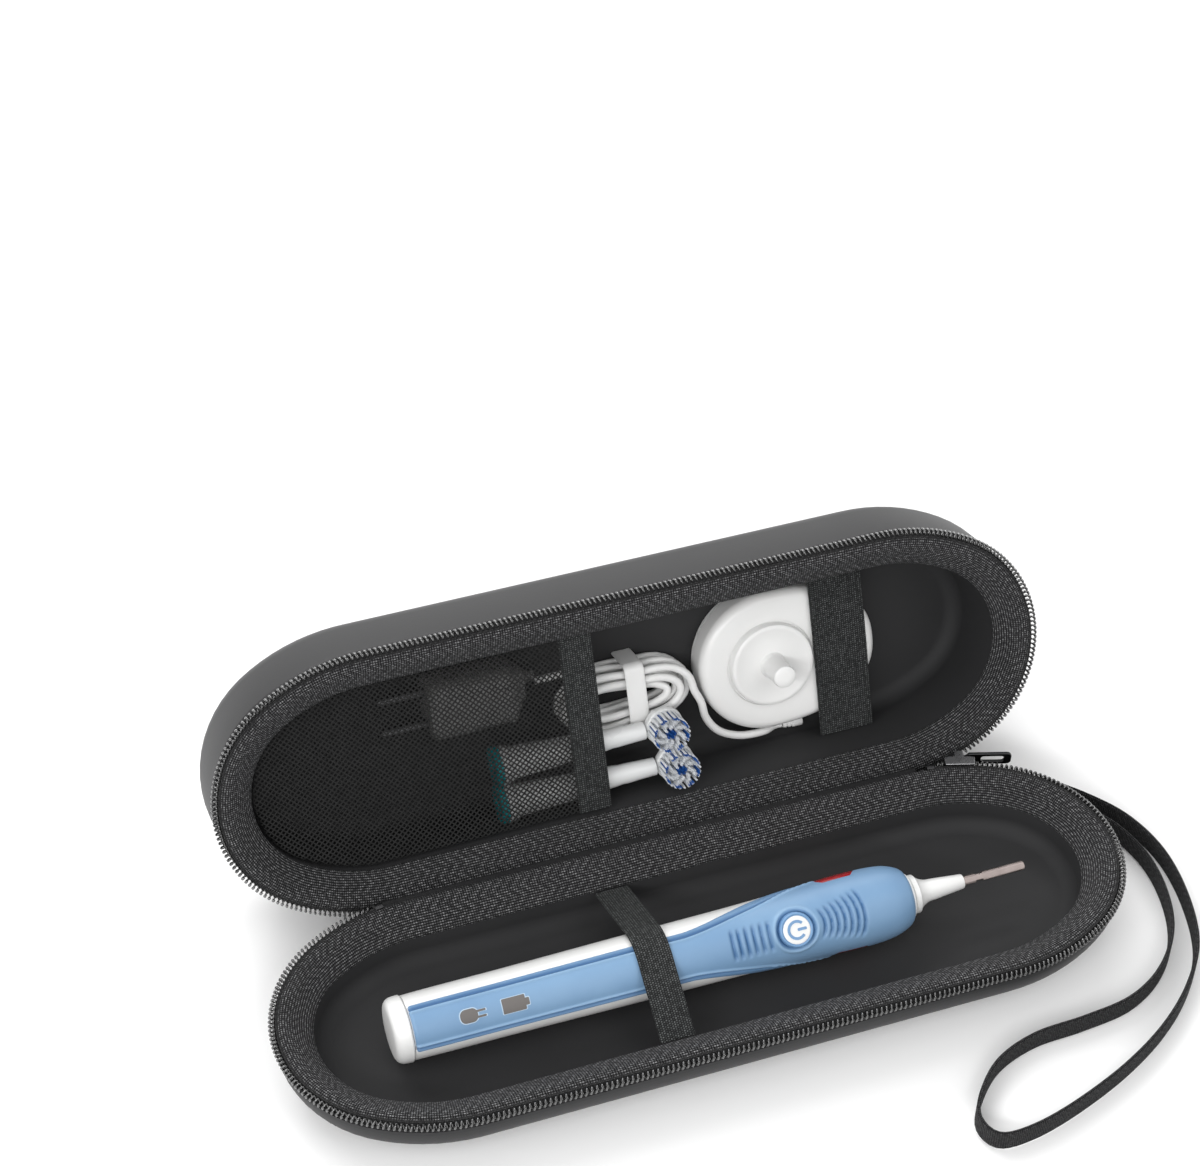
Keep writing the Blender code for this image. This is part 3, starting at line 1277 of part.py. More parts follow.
def lid_band(lid, looks):
    """The wide elastic band that holds the charger down, sewn into both walls of the tray."""
    inset = FLANGE_LIP[0] + TRAY_DRAFT + CLEARANCE
    edge = HALF_WIDTH - inset
    level = LID_TRAY_FLOOR - 2 * CLEARANCE - CHARGER_PLATE - CHARGER_HEIGHT
    half = LID_BAND_WIDTH / 2
    lid_block("lid_band", lid, (LID_BAND_PLACE - half, -edge, level - BAND_THICKNESS),
              (LID_BAND_PLACE + half, edge, level), looks["elastic"])


def palette():
    """The finishes that the part uses."""
    return {
        "leather": finish("leather", (0.035, 0.036, 0.038), 0.55),
        "lining": finish("lining", (0.030, 0.030, 0.032), 0.75),
        "webbing": finish("webbing", (0.050, 0.050, 0.052), 0.85),
        "teeth": finish("zip_teeth", (0.030, 0.030, 0.030), 0.35),
        "metal": finish("metal", (0.42, 0.42, 0.43), 0.30, 1.0),
        "elastic": finish("elastic", (0.045, 0.050, 0.050), 0.90),
        "net": finish("net", (0.015, 0.015, 0.015), 0.90),
        "white": finish("white_plastic", (0.80, 0.81, 0.82), 0.35),
        "blue": finish("blue_grip", (0.25, 0.45, 0.70), 0.45),
        "red": finish("pressure_light", (0.60, 0.05, 0.06), 0.35),
        "button": finish("button", (0.36, 0.55, 0.78), 0.40),
        "teal": finish("teal_ring", (0.02, 0.33, 0.38), 0.40),
        "bristle": finish("bristle", (0.75, 0.80, 0.88), 0.60),
        "cord": finish("white_cord", (0.78, 0.79, 0.80), 0.45),
        "plug": finish("plug", (0.62, 0.63, 0.64), 0.45),
        "rubber": finish("rubber", (0.04, 0.04, 0.04), 0.80),
        "copper": finish("copper", (0.72, 0.38, 0.22), 0.35, 1.0),
        "battery": finish("battery", (0.10, 0.25, 0.15), 0.40),
        "board": finish("circuit_board", (0.02, 0.22, 0.10), 0.50),
    }


def build():
    """The whole part in its rest pose."""
    for old in list(bpy.data.objects):
        bpy.data.objects.remove(old, do_unlink=True)
    looks = palette()
    rim = Vector((0.0, 0.0, BASE_DEPTH))
    hinge = Vector((0.0, HALF_WIDTH - HINGE_INSET, BASE_DEPTH - HINGE_DROP))
    base = Side(-1, rim, None)
    lid_pivot = empty("lid_pivot", hinge, (-LID_OPEN, 0.0, 0.0))
    lid = Side(1, rim - hinge, lid_pivot)

    case_half("base", base, BASE_DEPTH, BASE_DEPTH - SHELL_EDGE_DEPTH, looks)
    case_half("lid", lid, LID_DEPTH, LID_CORNER, looks)
    for prefix, side in (("base", base), ("lid", lid)):
        zip_stop(prefix + "_zip_stop_right", side, 1, looks)
        zip_stop(prefix + "_zip_stop_left", side, -1, looks)
    hinge_spine(looks)
    zip_slider(looks)
    tab_end, inner, outer = strap_tab(looks)
    wrist_strap(tab_end, inner, outer, looks)

    toothbrush(looks)
    base_band(looks)

    net_pocket(lid, looks)
    relief_face = charger(lid, looks)
    plug_face = plug(lid, looks)
    wound = cord_hank(lid, plug_face, looks)
    cord_lead(lid, wound[-1], wound[-2], relief_face, looks)
    cord_tie(lid, looks)
    lid_band(lid, looks)

    wall = HALF_WIDTH - FLANGE_LIP[0] - TRAY_DRAFT
    second = wall - CLEARANCE - HEAD_RING_RADIUS
    first = second - 2 * HEAD_RING_RADIUS - CLEARANCE
    spare_head("a", lid, first, HEAD_DISC_PLACES[0], looks)
    spare_head("b", lid, second, HEAD_DISC_PLACES[1], looks)


build()
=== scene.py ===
# %% [markdown]
# # An open travel case for an electric toothbrush
#
# The case is two moulded shells joined by a flexible strip. A zip runs round both rims, a woven tape
# binds them on the inside, and elastic bands hold a toothbrush below and its charger above.
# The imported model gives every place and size. Each cell below makes one piece of the finished surface
# round it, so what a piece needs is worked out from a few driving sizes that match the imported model.

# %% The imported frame
from contextlib import contextmanager
from math import acos, atan2, copysign, cos, exp, hypot, pi, radians, sin

import bmesh
import bpy
from mathutils import Matrix, Vector, noise


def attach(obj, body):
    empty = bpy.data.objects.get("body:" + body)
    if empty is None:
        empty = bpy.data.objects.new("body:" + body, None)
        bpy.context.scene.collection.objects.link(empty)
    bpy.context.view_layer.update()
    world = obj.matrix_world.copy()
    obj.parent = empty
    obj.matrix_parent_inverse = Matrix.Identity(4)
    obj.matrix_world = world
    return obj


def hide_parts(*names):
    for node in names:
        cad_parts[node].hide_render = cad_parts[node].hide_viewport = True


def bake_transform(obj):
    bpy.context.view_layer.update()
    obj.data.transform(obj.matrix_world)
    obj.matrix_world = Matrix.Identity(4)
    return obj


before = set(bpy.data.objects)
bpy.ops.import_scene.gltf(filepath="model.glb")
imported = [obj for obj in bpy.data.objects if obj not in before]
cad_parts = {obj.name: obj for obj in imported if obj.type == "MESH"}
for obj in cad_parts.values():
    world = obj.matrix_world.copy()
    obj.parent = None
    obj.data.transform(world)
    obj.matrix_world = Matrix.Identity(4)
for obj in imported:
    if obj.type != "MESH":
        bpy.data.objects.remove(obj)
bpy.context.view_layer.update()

# %% [markdown]
# ## Camera
#
# The photograph was taken from above the front left, about 0.8 m away. The camera's place and its
# three angles were fitted to corners of the case, so the same edges fall on the same parts of the frame.
# Building the matrix from a forward, a right and an up vector keeps each angle readable.

# %% Camera
CAMERA_PLACE = Vector((-0.2019, -0.4701, 0.6435))
CAMERA_YAW = radians(-19.64)
CAMERA_PITCH = radians(-43.75)
CAMERA_ROLL = radians(0.98)
PHOTO_WIDTH_PIXELS = 1200
FOCAL_LENGTH_PIXELS = 2849
SENSOR_WIDTH = 36.0


def make_camera():
    """The camera of the photograph, with no shift and no depth of field."""
    forward = Vector((
        -sin(CAMERA_YAW) * cos(CAMERA_PITCH), cos(CAMERA_YAW) * cos(CAMERA_PITCH), sin(CAMERA_PITCH),
    ))
    level = Vector((cos(CAMERA_YAW), sin(CAMERA_YAW), 0.0))
    upright = level.cross(forward)
    right = level * cos(CAMERA_ROLL) + upright * sin(CAMERA_ROLL)
    top = upright * cos(CAMERA_ROLL) - level * sin(CAMERA_ROLL)
    lens = bpy.data.cameras.new("camera")
    lens.sensor_width = SENSOR_WIDTH
    lens.lens = SENSOR_WIDTH * FOCAL_LENGTH_PIXELS / PHOTO_WIDTH_PIXELS
    lens.clip_start = 0.01
    camera = bpy.data.objects.new("camera", lens)
    bpy.context.collection.objects.link(camera)
    turn = Matrix((right, top, -forward)).transposed().to_4x4()
    camera.matrix_world = Matrix.Translation(CAMERA_PLACE) @ turn
    bpy.context.scene.camera = camera
    return camera


camera = make_camera()
print("lens, mm:", round(camera.data.lens, 2))

# %% [markdown]
# ## Light
#
# Product photographs on white use one very large soft lamp overhead and a bright surround. A broad lamp
# behind the case draws a sheen along its rims, and two narrow strip lamps put small glints on the zip's
# teeth and on metal. The even light of the world is made with the floor, further down.

# %% Lights
LAMPS = (
    ("lamp_back", (-0.35, 0.95, 1.25), (1.10, 1.10), 9.0),
    ("lamp_left", (-1.25, -0.35, 0.95), (0.80, 0.80), 4.0),
    ("lamp_front", (0.75, -0.95, 1.35), (0.90, 0.90), 4.2),
    ("strip_back", (0.20, 1.10, 0.90), (1.40, 0.16), 7.0),
    ("strip_front", (-0.60, -0.90, 0.80), (1.20, 0.14), 8.0),
)


def make_lamp(name, place, size, power):
    """A soft rectangular lamp that faces the case."""
    light = bpy.data.lights.new(name, "AREA")
    light.shape = "RECTANGLE"
    light.size, light.size_y = size
    light.energy = power
    lamp = bpy.data.objects.new(name, light)
    bpy.context.collection.objects.link(lamp)
    lamp.location = place
    lamp.rotation_euler = (-Vector(place)).to_track_quat("-Z", "Y").to_euler()


for lamp_values in LAMPS:
    make_lamp(*lamp_values)

bpy.context.scene.view_settings.view_transform = "Standard"

# %% [markdown]
# ## Small tools for materials
#
# Every finish here is procedural. Small helpers keep the node code short: one adds a Math node and
# returns its result, others open a new node group or place it in a material.

# %% Node helpers


def calc(tree, operation, *values, clamp=False):
    """A Math node; numbers set its sockets and sockets are linked to it."""
    node = tree.nodes.new("ShaderNodeMath")
    node.operation = operation
    node.use_clamp = clamp
    for socket, value in zip(node.inputs, values):
        if isinstance(value, (int, float)):
            socket.default_value = value
        else:
            tree.links.new(value, socket)
    return node.outputs[0]


def new_group(name, inputs, outputs):
    """A shader node group with named inputs and outputs."""
    tree = bpy.data.node_groups.new(name, "ShaderNodeTree")
    for label, kind, value in inputs:
        socket = tree.interface.new_socket(label, in_out="INPUT", socket_type=kind)
        if value is not None:
            socket.default_value = value
    for label, kind in outputs:
        tree.interface.new_socket(label, in_out="OUTPUT", socket_type=kind)
    return tree, tree.nodes.new("NodeGroupInput").outputs, tree.nodes.new("NodeGroupOutput").inputs


def use_group(tree, group, **values):
    """A group placed in a material; keywords are its inputs with underscores for spaces."""
    node = tree.nodes.new("ShaderNodeGroup")
    node.node_tree = group
    for key, value in values.items():
        socket = node.inputs[key.replace("_", " ")]
        if isinstance(value, (int, float)):
            socket.default_value = value
        else:
            tree.links.new(value, socket)
    return node.outputs


def tone(tree, dark, light, factor):
    """A colour between two, by a factor that changes over the surface."""
    mix = tree.nodes.new("ShaderNodeMix")
    mix.data_type = "RGBA"
    mix.inputs["A"].default_value = (*dark, 1.0)
    mix.inputs["B"].default_value = (*light, 1.0)
    tree.links.new(factor, mix.inputs["Factor"])
    return mix.outputs["Result"]


def ranged(tree, value, low, high):
    """A value from 0 to 1, spread between two numbers."""
    node = tree.nodes.new("ShaderNodeMapRange")
    node.inputs["To Min"].default_value = low
    node.inputs["To Max"].default_value = high
    tree.links.new(value, node.inputs["Value"])
    return node.outputs[0]


def new_material(name):
    """A material with its node tree and its Principled shader."""
    made = bpy.data.materials.new(name)
    made.use_nodes = True
    return made, made.node_tree, made.node_tree.nodes["Principled BSDF"]


def bump(tree, shader, height, strength, distance):
    """Feeds a height into the shader's normal."""
    node = tree.nodes.new("ShaderNodeBump")
    node.inputs["Strength"].default_value = strength
    node.inputs["Distance"].default_value = distance
    tree.links.new(height, node.inputs["Height"])
    tree.links.new(node.outputs[0], shader.inputs["Normal"])


def cloth_place(tree):
    """Metres along and across a strip, from the map that its mesh carries."""
    node = tree.nodes.new("ShaderNodeUVMap")
    node.uv_map = "cloth"
    return node.outputs[0]


def body_place(tree):
    """Metres in the piece's own space, which moves with it."""
    return tree.nodes.new("ShaderNodeTexCoord").outputs["Object"]


def split_place(tree, place):
    """The parts of a place, as sockets."""
    split = tree.nodes.new("ShaderNodeSeparateXYZ")
    tree.links.new(place, split.inputs[0])
    return split.outputs


def round_top(tree, count):
    """The round top of each thread, from a running count of threads."""
    return calc(tree, "SINE", calc(tree, "MULTIPLY", calc(tree, "FRACT", count), pi))


def speckle(tree, column, row):
    """A random value for each crossing of a weave."""
    numbers = tree.nodes.new("ShaderNodeCombineXYZ")
    tree.links.new(column, numbers.inputs["X"])
    tree.links.new(row, numbers.inputs["Y"])
    random = tree.nodes.new("ShaderNodeTexWhiteNoise")
    tree.links.new(numbers.outputs[0], random.inputs["Vector"])
    return random.outputs["Value"]


# %% [markdown]
# ## Woven tape
#
# The binding is a herringbone tape: a twill whose diagonal turns back at each column. A twill can be
# worked out from the thread numbers alone. Where the sum of the two thread numbers, counted in fours, is
# 0 or 1 the long thread is on top, else the cross thread. Past the columns the tape turns under and shows
# plain rows. The group gives the height of the threads and a tone of painted light on their crowns and
# painted shade between them, paler on the long threads.

# %% Herringbone group


def herringbone_group():
    """Twill that reverses in columns, with plain rows past a distance across."""
    tree, given, result = new_group(
        "Herringbone weave",
        (("Place", "NodeSocketVector", None), ("Thread", "NodeSocketFloat", 0.0006),
         ("Column", "NodeSocketFloat", 0.0032), ("Plain From", "NodeSocketFloat", 0.0066)),
        (("Height", "NodeSocketFloat"), ("Thread Tone And Painted Shade", "NodeSocketFloat")),
    )
    place = split_place(tree, given["Place"])
    along = calc(tree, "DIVIDE", place["X"], given["Thread"])
    across = calc(tree, "DIVIDE", place["Y"], given["Thread"])
    long_number = calc(tree, "FLOOR", across)
    cross_number = calc(tree, "FLOOR", along)
    column = calc(tree, "FLOOR", calc(tree, "DIVIDE", place["Y"], given["Column"]))
    turn = calc(tree, "MULTIPLY_ADD", calc(tree, "FLOORED_MODULO", column, 2.0), 2.0, -1.0)
    order = calc(tree, "MULTIPLY_ADD", long_number, turn, cross_number)
    long_on_top = calc(tree, "LESS_THAN", calc(tree, "FLOORED_MODULO", order, 4.0), 2.0)
    long_round = round_top(tree, across)
    cross_round = round_top(tree, along)
    rows = calc(tree, "MULTIPLY", long_round, calc(tree, "MULTIPLY_ADD", cross_round, 0.5, 0.5))
    cross = calc(tree, "MULTIPLY", cross_round, calc(tree, "MULTIPLY_ADD", long_round, 0.5, 0.5))
    twill = calc(tree, "MULTIPLY_ADD", calc(tree, "SUBTRACT", rows, cross), long_on_top, cross)
    plain = calc(tree, "GREATER_THAN", place["Y"], given["Plain From"])
    height = calc(tree, "MULTIPLY_ADD", calc(tree, "SUBTRACT", rows, twill), plain, twill)
    uneven = calc(tree, "MULTIPLY_ADD", speckle(tree, cross_number, long_number), 0.6, 0.4)
    # Painted light on the thread crowns and painted shade in the gaps between threads, times a random tone
    # for each crossing.
    painted_light_and_speckle = calc(tree, "MULTIPLY", calc(tree, "POWER", height, 3.0), uneven)
    favoured = calc(tree, "MULTIPLY_ADD", long_on_top, 0.55, 0.45)
    tree.links.new(height, result["Height"])
    tree.links.new(calc(tree, "MULTIPLY", painted_light_and_speckle, favoured), result["Thread Tone And Painted Shade"])
    return tree


HERRINGBONE = herringbone_group()

# %% [markdown]
# ## Grain and uneven tone
#
# Moulded foam covered with synthetic leather has a fine pebble grain, and any dark matte surface is
# slightly uneven where it has been handled. One group gives both, so the shells, the liner and the
# plastics share it with their own scales.

# %% Grain group


def grain_group():
    """Pebble grain and a slow uneven tone."""
    tree, given, result = new_group(
        "Grain",
        (("Place", "NodeSocketVector", None), ("Pebbles", "NodeSocketFloat", 2600.0),
         ("Patches", "NodeSocketFloat", 35.0)),
        (("Height", "NodeSocketFloat"), ("Uneven", "NodeSocketFloat")),
    )
    pebbles = tree.nodes.new("ShaderNodeTexVoronoi")
    pebbles.feature = "SMOOTH_F1"
    fine = tree.nodes.new("ShaderNodeTexNoise")
    patches = tree.nodes.new("ShaderNodeTexNoise")
    for node, scale in ((pebbles, given["Pebbles"]), (fine, given["Pebbles"]), (patches, given["Patches"])):
        tree.links.new(given["Place"], node.inputs["Vector"])
        tree.links.new(scale, node.inputs["Scale"])
    patches.inputs["Detail"].default_value = 4.0
    height = calc(tree, "MULTIPLY_ADD", pebbles.outputs["Distance"], 0.7,
                  calc(tree, "MULTIPLY", fine.outputs["Fac"], 0.3))
    tree.links.new(height, result["Height"])
    tree.links.new(patches.outputs["Fac"], result["Uneven"])
    return tree


GRAIN = grain_group()

# %% [markdown]
# ## Ribbed elastic
#
# Elastic webbing has cords of rubber along its length, crossed by fine yarn that bunches between them.
# Its tone is painted light on the bumps and painted shade between them, with a random tone for each bump.

# %% Elastic group


def elastic_group():
    """Ribs along a strip with small yarn bumps across them."""
    tree, given, result = new_group(
        "Ribbed elastic",
        (("Place", "NodeSocketVector", None), ("Rib", "NodeSocketFloat", 0.0009),
         ("Yarn", "NodeSocketFloat", 0.00055)),
        (("Height", "NodeSocketFloat"), ("Yarn Tone And Painted Shade", "NodeSocketFloat")),
    )
    place = split_place(tree, given["Place"])
    across = calc(tree, "DIVIDE", place["Y"], given["Rib"])
    shift = calc(tree, "MULTIPLY", calc(tree, "FLOORED_MODULO", calc(tree, "FLOOR", across), 2.0), 0.5)
    along = calc(tree, "ADD", calc(tree, "DIVIDE", place["X"], given["Yarn"]), shift)
    height = calc(tree, "MULTIPLY", calc(tree, "MULTIPLY_ADD", round_top(tree, across), 0.6, 0.4),
                  calc(tree, "MULTIPLY_ADD", round_top(tree, along), 0.7, 0.3))
    random = speckle(tree, calc(tree, "FLOOR", along), calc(tree, "FLOOR", across))
    uneven = calc(tree, "MULTIPLY_ADD", random, 0.8, 0.2)
    tree.links.new(height, result["Height"])
    # Painted light on the tops of the ribs and yarn bumps and painted shade between them, times a random tone
    # for each bump.
    tree.links.new(calc(tree, "MULTIPLY", calc(tree, "POWER", height, 3.0), uneven), result["Yarn Tone And Painted Shade"])
    return tree


ELASTIC = elastic_group()

# %% [markdown]
# ## Finishes
#
# Cloth: painted shade between the threads and painted light on their crowns, and a sheen. Leather and
# liner: fine grain and a broad soft highlight. Each function below makes one kind of finish, called with
# the values of one piece.

# %% Finishes


def woven_finish(name, dark, light, thread, column, plain_from, strength=1.0):
    """Herringbone tape."""
    made, tree, shader = new_material(name)
    weave = use_group(tree, HERRINGBONE, Place=cloth_place(tree), Thread=thread, Column=column,
                      Plain_From=plain_from)
    # The colour runs from painted shade between the threads to painted light on their crowns.
    tree.links.new(tone(tree, dark, light, weave["Thread Tone And Painted Shade"]), shader.inputs["Base Color"])
    tree.links.new(ranged(tree, weave["Height"], 0.92, 0.58), shader.inputs["Roughness"])
    shader.inputs["Sheen Weight"].default_value = 0.05
    shader.inputs["Specular IOR Level"].default_value = 0.15
    bump(tree, shader, weave["Height"], strength, thread)
    return made


def elastic_finish(name, dark, light, rib, yarn):
    """Ribbed elastic."""
    made, tree, shader = new_material(name)
    ribs = use_group(tree, ELASTIC, Place=cloth_place(tree), Rib=rib, Yarn=yarn)
    # The colour runs from painted shade between the ribs to painted light on their tops.
    tree.links.new(tone(tree, dark, light, ribs["Yarn Tone And Painted Shade"]), shader.inputs["Base Color"])
    shader.inputs["Roughness"].default_value = 0.85
    shader.inputs["Specular IOR Level"].default_value = 0.15
    shader.inputs["Sheen Weight"].default_value = 0.05
    bump(tree, shader, ribs["Height"], 1.0, rib / 2)
    return made


def grained_finish(name, dark, light, smooth, rough, pebbles, depth, patches=35.0, coat=0.0,
                   shine=0.5, strength=0.6, metallic=0.0):
    """Leather, liner, moulded plastic or metal, by its grain."""
    made, tree, shader = new_material(name)
    grain = use_group(tree, GRAIN, Place=body_place(tree), Pebbles=pebbles, Patches=patches)
    tree.links.new(tone(tree, dark, light, grain["Uneven"]), shader.inputs["Base Color"])
    tree.links.new(ranged(tree, grain["Uneven"], smooth, rough), shader.inputs["Roughness"])
    shader.inputs["Metallic"].default_value = metallic
    shader.inputs["Specular IOR Level"].default_value = shine
    shader.inputs["Coat Weight"].default_value = coat
    shader.inputs["Coat Roughness"].default_value = 0.25
    bump(tree, shader, grain["Height"], strength, depth)
    return made


def metal_finish(name, dark, light, smooth, rough):
    """Die-cast or drawn metal with fine wear."""
    return grained_finish(name, dark, light, smooth, rough, 3200.0, 0.00002, patches=300.0,
                          strength=0.3, metallic=1.0)


LEATHER = grained_finish("synthetic_leather", (0.010, 0.010, 0.011), (0.024, 0.024, 0.025), 0.40, 0.56,
                         2200.0, 0.00006, patches=22.0, shine=0.34)
LINER = grained_finish("matte_liner", (0.016, 0.016, 0.017), (0.030, 0.030, 0.031), 0.62, 0.80,
                       2600.0, 0.00004, patches=26.0, shine=0.3)
# The dark ends of the woven and elastic colours are painted shade between threads and ribs.
BINDING = woven_finish("herringbone_binding", (0.004, 0.004, 0.005), (0.44, 0.44, 0.45),
                       0.00074, 0.00296, 0.0070)
TAPE = woven_finish("zip_tape", (0.008, 0.008, 0.009), (0.12, 0.12, 0.12), 0.00045, 0.0018, 1.0)
STRAP = woven_finish("strap_webbing", (0.007, 0.007, 0.008), (0.13, 0.13, 0.135), 0.00060, 0.0024, 1.0)
ELASTIC_DARK = elastic_finish("dark_elastic", (0.008, 0.009, 0.009), (0.170, 0.178, 0.178),
                              0.00070, 0.00066)
NYLON = grained_finish("nylon_teeth", (0.012, 0.012, 0.012), (0.040, 0.040, 0.040), 0.12, 0.18,
                       900.0, 0.000004, coat=1.0, shine=1.0)
GUNMETAL = metal_finish("blackened_metal", (0.035, 0.035, 0.037), (0.080, 0.080, 0.082), 0.25, 0.40)
SILVER = metal_finish("die_cast_metal", (0.26, 0.26, 0.27), (0.40, 0.40, 0.41), 0.20, 0.34)
print("materials:", len(bpy.data.materials))

# %% [markdown]
# ## Floor
#
# A white table with the object's shadow on it, in a white room. The camera, and reflections, see both
# nearly white. The light that they send out is held back, so the dark shells keep their contrast. Far
# from the case the table glows, so that it stays white where no lamp reaches it.

# %% Floor and world
WORLD_LEVEL = 0.60
FLOOR_SIZE = 8.0
FLOOR_SEEN = 0.99
FLOOR_BOUNCE = 0.70
FLOOR_NEAR = 0.5
FLOOR_FADE = 1.0


def seen_directly(tree):
    """One for rays that show the surround itself, nought for rays that only carry its light."""
    path = tree.nodes.new("ShaderNodeLightPath").outputs
    return calc(tree, "ADD", calc(tree, "ADD", path["Is Camera Ray"], path["Is Glossy Ray"]),
                path["Is Transmission Ray"], clamp=True)


def make_world():
    """White to look at, and weaker as a source of light."""
    world = bpy.data.worlds.new("studio")
    world.use_nodes = True
    tree = world.node_tree
    background = tree.nodes["Background"]
    background.inputs["Color"].default_value = (1.0, 1.0, 1.0, 1.0)
    strength = ranged(tree, seen_directly(tree), WORLD_LEVEL, 1.0)
    tree.links.new(strength, background.inputs["Strength"])
    bpy.context.scene.world = world


def make_floor():
    """A plane under the case."""
    mesh = bpy.data.meshes.new("floor")
    half = FLOOR_SIZE / 2
    mesh.from_pydata([(-half, -half, 0.0), (half, -half, 0.0), (half, half, 0.0), (-half, half, 0.0)],
                     [], [(0, 1, 2, 3)])
    floor = bpy.data.objects.new("floor", mesh)
    bpy.context.collection.objects.link(floor)
    made, tree, shader = new_material("white_table")
    seen = seen_directly(tree)
    tree.links.new(tone(tree, (FLOOR_BOUNCE,) * 3, (FLOOR_SEEN,) * 3, seen), shader.inputs["Base Color"])
    place = tree.nodes.new("ShaderNodeNewGeometry").outputs["Position"]
    reach = tree.nodes.new("ShaderNodeVectorMath")
    reach.operation = "LENGTH"
    tree.links.new(place, reach.inputs[0])
    far = calc(tree, "MULTIPLY_ADD", reach.outputs["Value"], 1 / FLOOR_FADE, -FLOOR_NEAR / FLOOR_FADE,
               clamp=True)
    shader.inputs["Emission Color"].default_value = (1.0, 1.0, 1.0, 1.0)
    tree.links.new(calc(tree, "MULTIPLY", far, seen), shader.inputs["Emission Strength"])
    shader.inputs["Roughness"].default_value = 0.9
    shader.inputs["Specular IOR Level"].default_value = 0.0
    mesh.materials.append(made)


make_world()
make_floor()

# %% [markdown]
# ## The rim's outline
#
# Both halves share one outline: straight sides with ends drawn as three arcs each. Walking along it by
# distance makes evenly spaced stitches, teeth and weave possible. `rim(s)` gives the point and the
# outward direction at a distance from the right end of the back edge.

# %% Outline
CASE_LENGTH = 0.250
HALF_WIDTH = 0.040
TIP_RADIUS = 0.0368
SHOULDER_SPAN = radians(31.89)
SHOULDER_RADIUS = (HALF_WIDTH - TIP_RADIUS * cos(SHOULDER_SPAN)) / (1 - cos(SHOULDER_SPAN))
END_LENGTH = TIP_RADIUS + (SHOULDER_RADIUS - TIP_RADIUS) * sin(SHOULDER_SPAN)
STRAIGHT_END = CASE_LENGTH / 2 - END_LENGTH
SHOULDER_ARC = SHOULDER_RADIUS * SHOULDER_SPAN
TIP_ARC = TIP_RADIUS * (pi - 2 * SHOULDER_SPAN)
END_ARC = 2 * SHOULDER_ARC + TIP_ARC
PERIMETER = 2 * (END_ARC + 2 * STRAIGHT_END)


def rim(s):
    """Point and outward normal of the outline at a distance along it, clockwise from the back's right end."""
    half = PERIMETER / 2
    side = 1.0 if s % PERIMETER < half else -1.0
    walked = (s % PERIMETER) % half
    if walked > END_ARC:
        point = Vector((STRAIGHT_END - (walked - END_ARC), -HALF_WIDTH, 0.0))
        normal = Vector((0.0, -1.0, 0.0))
    else:
        if walked < SHOULDER_ARC:
            centre, radius = (STRAIGHT_END, HALF_WIDTH - SHOULDER_RADIUS), SHOULDER_RADIUS
            angle = walked / SHOULDER_RADIUS
        elif walked < SHOULDER_ARC + TIP_ARC:
            centre, radius = (CASE_LENGTH / 2 - TIP_RADIUS, 0.0), TIP_RADIUS
            angle = SHOULDER_SPAN + (walked - SHOULDER_ARC) / TIP_RADIUS
        else:
            centre, radius = (STRAIGHT_END, SHOULDER_RADIUS - HALF_WIDTH), SHOULDER_RADIUS
            angle = pi - (END_ARC - walked) / SHOULDER_RADIUS
        normal = Vector((sin(angle), cos(angle), 0.0))
        point = Vector((*centre, 0.0)) + normal * radius
    return point * side, normal * side


def half_width_at(x, inset):
    """Half the width of the outline, moved inwards, at a place along the case."""
    reach = abs(x)
    if reach <= STRAIGHT_END:
        return HALF_WIDTH - inset
    if reach <= STRAIGHT_END + SHOULDER_RADIUS * sin(SHOULDER_SPAN):
        run = reach - STRAIGHT_END
        return HALF_WIDTH - SHOULDER_RADIUS + max((SHOULDER_RADIUS - inset)**2 - run**2, 0.0)**0.5
    run = reach - (CASE_LENGTH / 2 - TIP_RADIUS)
    return max((TIP_RADIUS - inset)**2 - run**2, 0.0)**0.5


print("rim, mm:", round(PERIMETER * 1000, 1))

# %% [markdown]
# ## The two halves as frames
#
# A cross-section of the rim is written as inset from the outline and depth from the rim's plane. The lower
# half measures depth downwards. The lid does the same in its closed place and is then turned open about
# the hinge, so one set of functions makes both.

# %% Halves
BASE_DEPTH = 0.020
LID_DEPTH = 0.036
LID_CORNER = 0.013
WALL = 0.003
CLEARANCE = 0.0003
HINGE_INSET = 0.002
HINGE_DROP = 0.006
LID_REST_GAP = 0.00012
HINGE = Vector((0.0, HALF_WIDTH - HINGE_INSET, BASE_DEPTH - HINGE_DROP))


def open_angle():
    """How far the lid is open: its rounded back edge lies just above the table."""
    across = LID_CORNER - HINGE_INSET
    along = LID_DEPTH - LID_CORNER + HINGE_DROP
    drop = HINGE.z - LID_CORNER - LID_REST_GAP
    return atan2(across, along) + acos(-drop / hypot(across, along))


LID_OPEN = open_angle()


class Half:
    """One half of the case, as a frame for its cross-sections."""

    def __init__(self, body, sign, turn):
        self.body = body
        self.sign = sign
        self.turn = turn

    def at(self, x, y, depth):
        return self.turn @ Vector((x, y, BASE_DEPTH + self.sign * depth))

    def about(self, y, depth):
        """Places for a turned piece whose axis lies along the case."""
        return lambda along, side, up: self.at(along, y + side, depth + up)

    def on(self, s, inset, depth):
        point, normal = rim(s)
        place = point - normal * inset
        return self.at(place.x, place.y, depth)


LID_TURN = Matrix.Translation(HINGE) @ Matrix.Rotation(-LID_OPEN, 4, "X") @ Matrix.Translation(-HINGE)
BASE = Half("base", -1, Matrix.Identity(4))
LID = Half("lid", 1, LID_TURN)
print("lid open, degrees:", round(LID_OPEN * 180 / pi, 2))

# %% [markdown]
# ## Lofting
#
# Most pieces are one section carried along a path. `loft` joins a list of rings into a mesh and writes a
# map called cloth, in metres along and across, so a weave follows the strip round every bend.

# %% Loft
X_WAY = Vector((1.0, 0.0, 0.0))


